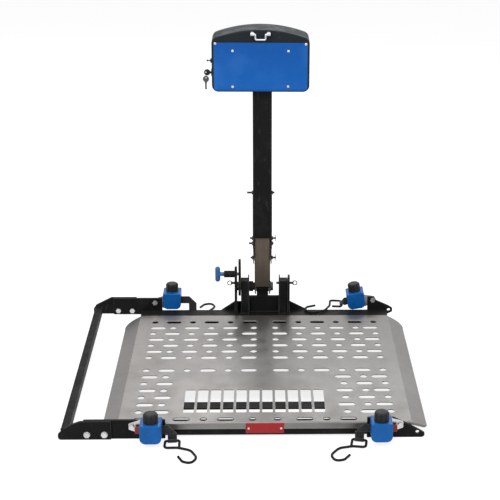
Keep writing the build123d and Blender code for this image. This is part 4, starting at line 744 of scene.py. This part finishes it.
class LIFT_OT_stage(bpy.types.Operator):
    """Camera at the photograph's viewpoint, pale floor, soft lights and a pale world"""

    bl_idname = "lift.stage"
    bl_label = "Stage"

    def execute(self, context):
        scene = context.scene
        scene.view_settings.view_transform = "Standard"
        data = bpy.data.cameras.new("viewpoint")
        data.sensor_width = SENSOR
        data.lens = FOCAL_PIXELS * SENSOR / PICTURE_SIZE
        data.shift_x = (PICTURE_SIZE / 2 - CENTRE_PIXEL[0]) / PICTURE_SIZE
        data.shift_y = (CENTRE_PIXEL[1] - PICTURE_SIZE / 2) / PICTURE_SIZE
        camera = add_object("viewpoint", data)
        axes = Matrix((CAMERA_RIGHT, -CAMERA_DOWN, -CAMERA_FORWARD)).transposed()
        camera.matrix_world = Matrix.Translation(CAMERA_PLACE) @ axes.to_4x4()
        scene.camera = camera
        self.make_floor()
        self.make_lights()
        self.make_world(scene)
        return {"FINISHED"}

    def make_floor(self):
        half = detail_settings().floor_size / 2
        corners = [(-half, -half, 0), (half, -half, 0), (half, half, 0), (-half, half, 0)]
        mesh = bpy.data.meshes.new("studio_floor")
        mesh.from_pydata(corners, [], [(0, 1, 2, 3)])
        floor = add_object("studio_floor", mesh)
        material = bpy.data.materials.new("studio_floor")
        material.use_nodes = True
        tree = material.node_tree
        shader = tree.nodes["Principled BSDF"]
        shader.inputs["Roughness"].default_value = FLOOR_ROUGHNESS
        shader.inputs["Specular IOR Level"].default_value = 0.0
        shader.inputs["Emission Color"].default_value = WHITE
        tree.links.new(self.seen_value(tree, FLOOR_LIT, FLOOR_SEEN), shader.inputs["Base Color"])
        tree.links.new(self.seen_value(tree, 0.0, FLOOR_GLOW), shader.inputs["Emission Strength"])
        mesh.materials.append(material)

    def make_lights(self):
        for name, lamp in LAMPS.items():
            data = bpy.data.lights.new(name, "AREA")
            data.shape = "RECTANGLE"
            data.size, data.size_y = lamp["size"]
            data.energy = lamp["power"]
            piece = add_object(name, data)
            piece.location = lamp["place"]
            piece.rotation_euler = (LAMP_AIM - Vector(lamp["place"])).to_track_quat("-Z", "Y").to_euler()

    def make_world(self, scene):
        world = bpy.data.worlds.new("studio")
        world.use_nodes = True
        tree = world.node_tree
        background = tree.nodes["Background"]
        background.inputs["Color"].default_value = WHITE
        tree.links.new(self.seen_value(tree, WORLD_LIT, WORLD_SEEN), background.inputs["Strength"])
        scene.world = world

    def seen_value(self, tree, lit, seen):
        """One value as light, another where the background is seen, mirrored or seen through glass."""
        path = tree.nodes.new("ShaderNodeLightPath")
        share = path.outputs["Is Camera Ray"]
        for name in ("Is Glossy Ray", "Is Transmission Ray"):
            either = tree.nodes.new("ShaderNodeMath")
            either.operation = "MAXIMUM"
            tree.links.new(share, either.inputs[0])
            tree.links.new(path.outputs[name], either.inputs[1])
            share = either.outputs["Value"]
        value = tree.nodes.new("ShaderNodeMapRange")
        value.inputs["To Min"].default_value = lit
        value.inputs["To Max"].default_value = seen
        tree.links.new(share, value.inputs["Value"])
        return value.outputs["Result"]


class LIFT_OT_frame_steel(bpy.types.Operator):
    """Coat on the mast, the rails, the foot, the plates, the guard, the hooks and the release levers"""

    bl_idname = "lift.frame_steel"
    bl_label = "Coated frame"

    def execute(self, context):
        finish = finish_settings()
        coat = coated_steel("black_powder_coat", finish.coat, finish.coat_worn)
        paint_nodes(COATED_NODES, coat)
        hooks = coated_steel("dipped_hook", finish.coat, finish.coat_worn, roughness=0.3, wear=0.25)
        paint_nodes(["hook_" + corner for corner in CORNERS], hooks)
        worn = lighter(finish.release, 1.4)
        release = coated_steel("release_red", finish.release, worn, roughness=0.4, wear=0.5)
        paint_nodes(["lever_" + corner for corner in CORNERS], release)
        return {"FINISHED"}


class LIFT_OT_bare_metal(bpy.types.Operator):
    """Bare sliding tube, plated screws, chromed handle and the moving parts inside"""

    bl_idname = "lift.bare_metal"
    bl_label = "Bare metal"

    def execute(self, context):
        paint_nodes(["inner_mast"], self.sliding_tube())
        paint_table(METALS, plated_metal)
        return {"FINISHED"}

    def sliding_tube(self):
        """Bare tube, browner and lighter at the top and darker towards the bottom."""
        colour = finish_settings().bare_tube
        paint = Paint("sliding_tube", colour, 0.45, 0.55)
        streaks = paint.patches(9, 6, 0.35, 0.7, rough=0.65, stretch=(14, 14, 1))
        # The tube darkens towards its bottom
        lower_darkening = paint.ramp(paint.position("Z"), 0.15, 0.24)
        base = paint.mix(lower_darkening, lighter(colour, 0.42), colour)
        paint.colour(paint.mix(paint.part(streaks, 0.6), base, lighter(colour, 0.45)))
        paint.vary_roughness(60, 4, 0.36, 0.58)
        paint.bump(paint.noise(500, 3, stretch=(6, 6, 1)), 0.0002, 0.5, rounding=0.0012)
        return paint.material


class LIFT_OT_deck(bpy.types.Operator):
    """Plated deck sheet with rolled grain, tyre marks and scuffs, and its red reflector"""

    bl_idname = "lift.deck"
    bl_label = "Deck sheet"

    def execute(self, context):
        paint_nodes(["deck_sheet"], self.deck_material())
        paint_nodes(["reflector"], self.reflector_material())
        return {"FINISHED"}

    def deck_material(self):
        """Cloudy plating, dull where tyres roll, with painted light that makes it lighter and warmer on the
        left and a painted highlight along its edges.
        """
        finish = finish_settings()
        # Painted light: lighter, warmer tone for the deck's left side
        painted_light_tone = (0.275, 0.25, 0.245, 1)
        fleck_tone = (0.06, 0.047, 0.038, 1)
        # Painted highlight tone for the deck's edges
        rim_tone = (0.42, 0.41, 0.40, 1)
        paint = Paint("plated_deck", finish.deck, 0.34, 0.75)
        grain = paint.noise(55, 6, 0.6, stretch=(0.25, 5, 5))
        clouds = paint.patches(3.2, 5, 0.36, 0.68, rough=0.6)
        lanes = paint.patches(9, 4, 0.42, 0.66, rough=0.6, stretch=(1.6, 0.25, 1))
        # Painted light: the deck grows lighter and warmer towards its left side
        painted_light_left = paint.ramp(paint.position("X"), -0.42, 0.1, 1.0, 0.0)
        fine = paint.ramp(grain, 0.35, 0.68)
        flecks = paint.patches(160, 4, 0.67, 0.74, rough=0.7)
        base = paint.mix(clouds, finish.deck, lighter(finish.deck, 0.82))
        base = paint.mix(paint.part(lanes, 0.45), base, finish.deck_dull)
        base = paint.mix(paint.part(painted_light_left, 0.3), base, painted_light_tone)
        base = paint.mix(paint.part(fine, 0.25), base, lighter(finish.deck, 0.6))
        base = paint.mix(paint.part(flecks, 0.5), base, fleck_tone)
        # Painted highlight: the deck's edges are lightened towards rim_tone
        paint.colour(paint.mix(paint.part(paint.edges(0.0018), 0.6), base, rim_tone))
        paint.vary_roughness(18, 5, 0.26, 0.44)
        paint.bump(grain, 0.0003, 0.35, rounding=0.0009)
        return paint.material

    def reflector_material(self):
        """Red lens with small raised cells, with painted light in their middles and painted shade at their
        rims.
        """
        colour = finish_settings().lens
        paint = Paint("reflector_lens", colour, 0.2, specular=0.3)
        cells = paint.nodes.new("ShaderNodeTexVoronoi")
        cells.inputs["Scale"].default_value = 420.0
        cells.inputs["Randomness"].default_value = 0.0
        paint.links.new(paint.place(), cells.inputs["Vector"])
        # Painted light and shade: each cell is lighter in its middle and darker at its rim
        share = paint.ramp(cells.outputs["Distance"], 0.1, 0.6)
        paint.colour(paint.mix(share, lighter(colour, 1.15), lighter(colour, 0.55)))
        paint.bump(cells.outputs["Distance"], 0.0005, 0.7, rounding=0.0006)
        return paint.material


class LIFT_OT_head(bpy.types.Operator):
    """Head cover, plain sign, switches and what the head holds inside"""

    bl_idname = "lift.head"
    bl_label = "Head"

    def execute(self, context):
        colour = finish_settings().head
        worn = lighter(colour, 1.9)
        cover = coated_steel("head_coat", colour, worn, roughness=0.4, wear=0.3, specular=0.12)
        paint_nodes(["head_cover", "head_chassis"], cover)
        paint_nodes(["sign_plate"], self.sign_material())
        motor = coated_steel("motor_coat", (0.03, 0.03, 0.033, 1), (0.1, 0.1, 0.1, 1), wear=0.4)
        paint_nodes(["lift_motor"], motor)
        paint_table(HEAD_PLASTICS, moulded_plastic)
        return {"FINISHED"}

    def sign_material(self):
        """Plain blue film that deepens downwards, with a dark rim at its edges."""
        finish = finish_settings()
        low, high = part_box("sign_plate")
        pale_tone = (0.05, 0.22, 0.62, 1)
        foot_tone = (0.002, 0.03, 0.16, 1)
        rim_tone = (0.008, 0.008, 0.01, 1)
        rim_width = 0.0022
        paint = Paint("sign_film", finish.sign_top, 0.3, specular=0.2)
        height = paint.position("Z")
        deep = paint.ramp(height, low.z + 0.01, high.z - 0.03)
        cloud = paint.patches(11, 2, 0.42, 0.62, rough=0.4)
        foot = paint.ramp(height, low.z + 0.008, low.z + 0.001)
        base = paint.mix(deep, finish.sign_low, finish.sign_top)
        base = paint.mix(paint.part(cloud, 0.22), base, pale_tone)
        base = paint.mix(paint.part(foot, 0.5), base, foot_tone)
        from_middle = paint.math("SUBTRACT", paint.position("X"), (high.x + low.x) / 2)
        sideways = paint.math("ABSOLUTE", from_middle)
        inside_x = paint.math("SUBTRACT", (high.x - low.x) / 2 - rim_width, sideways)
        inside_z = paint.math("SUBTRACT", high.z - rim_width, height)
        rim = paint.ramp(paint.math("MINIMUM", inside_x, inside_z), 0.0, -0.0002)
        paint.colour(paint.mix(rim, base, rim_tone))
        paint.vary_roughness(30, 4, 0.24, 0.38)
        paint.bump(paint.noise(700, 2), 0.00006, 0.4, rounding=0.0005)
        return paint.material


class LIFT_OT_tie_downs(bpy.types.Operator):
    """Moulded retractor covers, hand knobs and the plunger's grip"""

    bl_idname = "lift.tie_downs"
    bl_label = "Tie-downs"

    def execute(self, context):
        finish = finish_settings()
        blue = moulded_plastic("retractor_blue", finish.cover, roughness=0.3, grain=1100.0)
        paint_nodes(["retractor_covers"], blue)
        knob = moulded_plastic("knob_black", (0.016, 0.016, 0.017, 1), roughness=0.45)
        paint_nodes(["spool_" + corner for corner in CORNERS], knob)
        grip = moulded_plastic("plunger_grip", finish.grip, roughness=0.32)
        paint_nodes(["lock_plunger"], grip)
        return {"FINISHED"}


class LIFT_OT_straps(bpy.types.Operator):
    """Four webbing straps, folded on the bias or turned flat, sewn round their hooks"""

    bl_idname = "lift.straps"
    bl_label = "Straps"

    def execute(self, context):
        material = webbing_material()
        thickness = detail_settings().strap_thickness
        rims = {corner: flat_strap_rims(spec, thickness) for corner, spec in FLAT_STRAPS.items()}
        rims["rear_right"] = turned_strap_rims(TURNED_STRAP, thickness)
        made = [ribbon("strap_" + corner, rims[corner], thickness, material) for corner in rims]
        for piece in made:
            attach(piece, "platform")
        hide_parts("tie_down_straps")
        self.sew(thickness)
        return {"FINISHED"}

    def sew(self, thickness):
        thread = Paint("stitch_thread", (0.05, 0.05, 0.052, 1), 0.7)
        length = detail_settings().stitch_length
        sizes = {"Spacing": length * STITCH_SPACING, "Length": length, "Width": STITCH_WIDTH}
        along_paths("strap_stitches", self.stitch_paths(thickness), path_tree("stitches", False), sizes,
                    thread.material, "platform")

    def stitch_paths(self, thickness):
        """Two rows across each flat strap above its hook, and one along each edge of its level length."""
        paths = []
        span = STRAP_WIDTH / 2 - STITCH_END
        for spec in FLAT_STRAPS.values():
            x, y, z = spec["at"]
            bar = Vector(spec["bar"])
            low = z + STRAP_LOW
            face = y + spec["out"] * (STRAP_SIDE + thickness * STITCH_LIFT)
            hanging_face = face - spec["out"] * thickness * STITCH_BACK
            top_row = min(low, bar.z + STITCH_ABOVE_BAR)
            for drop in STITCH_ROWS:
                level = top_row - drop
                paths.append([(bar.x - span, hanging_face, level), (bar.x + span, hanging_face, level)])
            start = x + spec["along"] * COVER_END
            end = bar.x - spec["along"] * STRAP_WIDTH / 2
            for edge in (low + STITCH_EDGE, low + STRAP_WIDTH - STITCH_EDGE):
                paths.append([(start, face, edge), (end, face, edge)])
        return paths


class LIFT_OT_welds(bpy.types.Operator):
    """Rippled weld beads where posts, cheeks, gusset, guard and hitch bar meet what carries them"""

    bl_idname = "lift.welds"
    bl_label = "Welds"

    def execute(self, context):
        detail = detail_settings()
        finish = finish_settings()
        colour = lighter(finish.coat, 1.3)
        coat = coated_steel("weld_coat", colour, finish.coat_worn, roughness=0.36, wear=0.2)
        tree = path_tree("weld_beads", False)
        pitch = detail.bead_pitch
        sizes = {"Spacing": pitch, "Length": pitch * BEAD_STRETCH, "Width": detail.bead_width}
        along_paths("platform_welds", self.platform_paths(), tree, sizes, coat, "platform")
        along_paths("mast_welds", self.mast_paths(), tree, sizes, coat, "mast")
        return {"FINISHED"}

    def platform_paths(self):
        rail_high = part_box("back_rail")[1]
        top = rail_high.z
        back = rail_high.y
        paths = [[(left, POST_FRONT, top), (right, POST_FRONT, top)] for left, right in POST_X]
        paths += [[(CROSS_PLATE_X[0], y, top), (CROSS_PLATE_X[1], y, top)] for y in CROSS_PLATE_Y]
        paths += [[(x, CHEEK_FRONT, top), (x, back, top)] for x in CHEEK_X]
        paths += [[(left, back, top), (right, back, top)] for left, right in GUSSET_X]
        loop_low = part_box("side_loop")[0]
        for edge in ARM_EDGES:
            x = loop_low.x + edge
            paths += [[(x, y, low), (x, y, high)] for y, low, high in ARM_WELDS]
        frame_low, frame_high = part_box("under_frame")
        bottom = frame_high.z - CROSS_BAR_WELD
        for x in (frame_low.x + CROSS_BAR_INSET, frame_high.x - CROSS_BAR_INSET):
            paths += [[(x, y, bottom), (x, y, frame_high.z)] for y in CROSS_BAR_Y]
        return paths

    def mast_paths(self):
        tube_low, tube_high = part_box("hitch_tube")
        bracket_low, bracket_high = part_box("hitch_bracket")
        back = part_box("outer_mast")[1].y
        start = tube_low.y
        left, right = tube_low.x + TUBE_CORNER, tube_high.x - TUBE_CORNER
        bottom, top = tube_low.z + TUBE_CORNER, tube_high.z - TUBE_CORNER
        paths = [[(left, start, z), (right, start, z)] for z in (tube_low.z, tube_high.z)]
        paths += [[(x, start, bottom), (x, start, top)] for x in (tube_low.x, tube_high.x)]
        for x in (bracket_low.x, bracket_high.x):
            paths.append([(x, back, bracket_low.z), (x, back, bracket_high.z)])
        foot = bracket_low.z + RIB_FOOT
        paths += [[(x, start, foot), (x, start, tube_low.z)] for x in RIB_X]
        return paths


class LIFT_OT_threads(bpy.types.Operator):
    """Thread turns on the mast's adjusting screws"""

    bl_idname = "lift.threads"
    bl_label = "Threads"

    def execute(self, context):
        pitch = detail_settings().thread_pitch
        oxide = bpy.data.materials["black_oxide"]
        mast_low, mast_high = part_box("outer_mast")
        paths = []
        for screw in ADJUSTERS:
            level = screw["level"]
            left = screw["left"] - THREAD_END
            right = screw["right"] - screw["right_head"]
            paths.append([(mast_low.x - JAM_NUT, 0, level), (mast_low.x - left, 0, level)])
            paths.append([(mast_high.x + JAM_NUT, 0, level), (mast_high.x + right, 0, level)])
        sizes = {"Spacing": pitch, "Length": pitch * THREAD_SHARE, "Width": THREAD_WIDTH}
        tree = path_tree("thread_turns", True)
        along_paths("adjuster_threads", paths, tree, sizes, oxide, "mast")
        return {"FINISHED"}


class LIFT_PT_panel(bpy.types.Panel):
    """Steps that dress the lift"""

    bl_label = "Scooter lift"
    bl_space_type = "VIEW_3D"
    bl_region_type = "UI"
    bl_category = "Scooter lift"

    def draw(self, context):
        for step in STEPS:
            self.layout.operator(step.bl_idname)
        for settings in (context.scene.lift_finish, context.scene.lift_detail):
            for name in settings.__annotations__:
                self.layout.prop(settings, name)


STEPS = (
    LIFT_OT_stage, LIFT_OT_frame_steel, LIFT_OT_bare_metal, LIFT_OT_deck, LIFT_OT_head, LIFT_OT_tie_downs,
    LIFT_OT_straps, LIFT_OT_welds, LIFT_OT_threads,
)
CLASSES = (LiftFinish, LiftDetail, *STEPS, LIFT_PT_panel)


def register():
    for item in CLASSES:
        bpy.utils.register_class(item)
    bpy.types.Scene.lift_finish = bpy.props.PointerProperty(type=LiftFinish)
    bpy.types.Scene.lift_detail = bpy.props.PointerProperty(type=LiftDetail)


def unregister():
    del bpy.types.Scene.lift_detail
    del bpy.types.Scene.lift_finish
    for item in reversed(CLASSES):
        bpy.utils.unregister_class(item)


def main():
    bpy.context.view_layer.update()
    register()
    for step in STEPS:
        group, name = step.bl_idname.split(".")
        getattr(getattr(bpy.ops, group), name)()


if __name__ == "__main__":
    main()
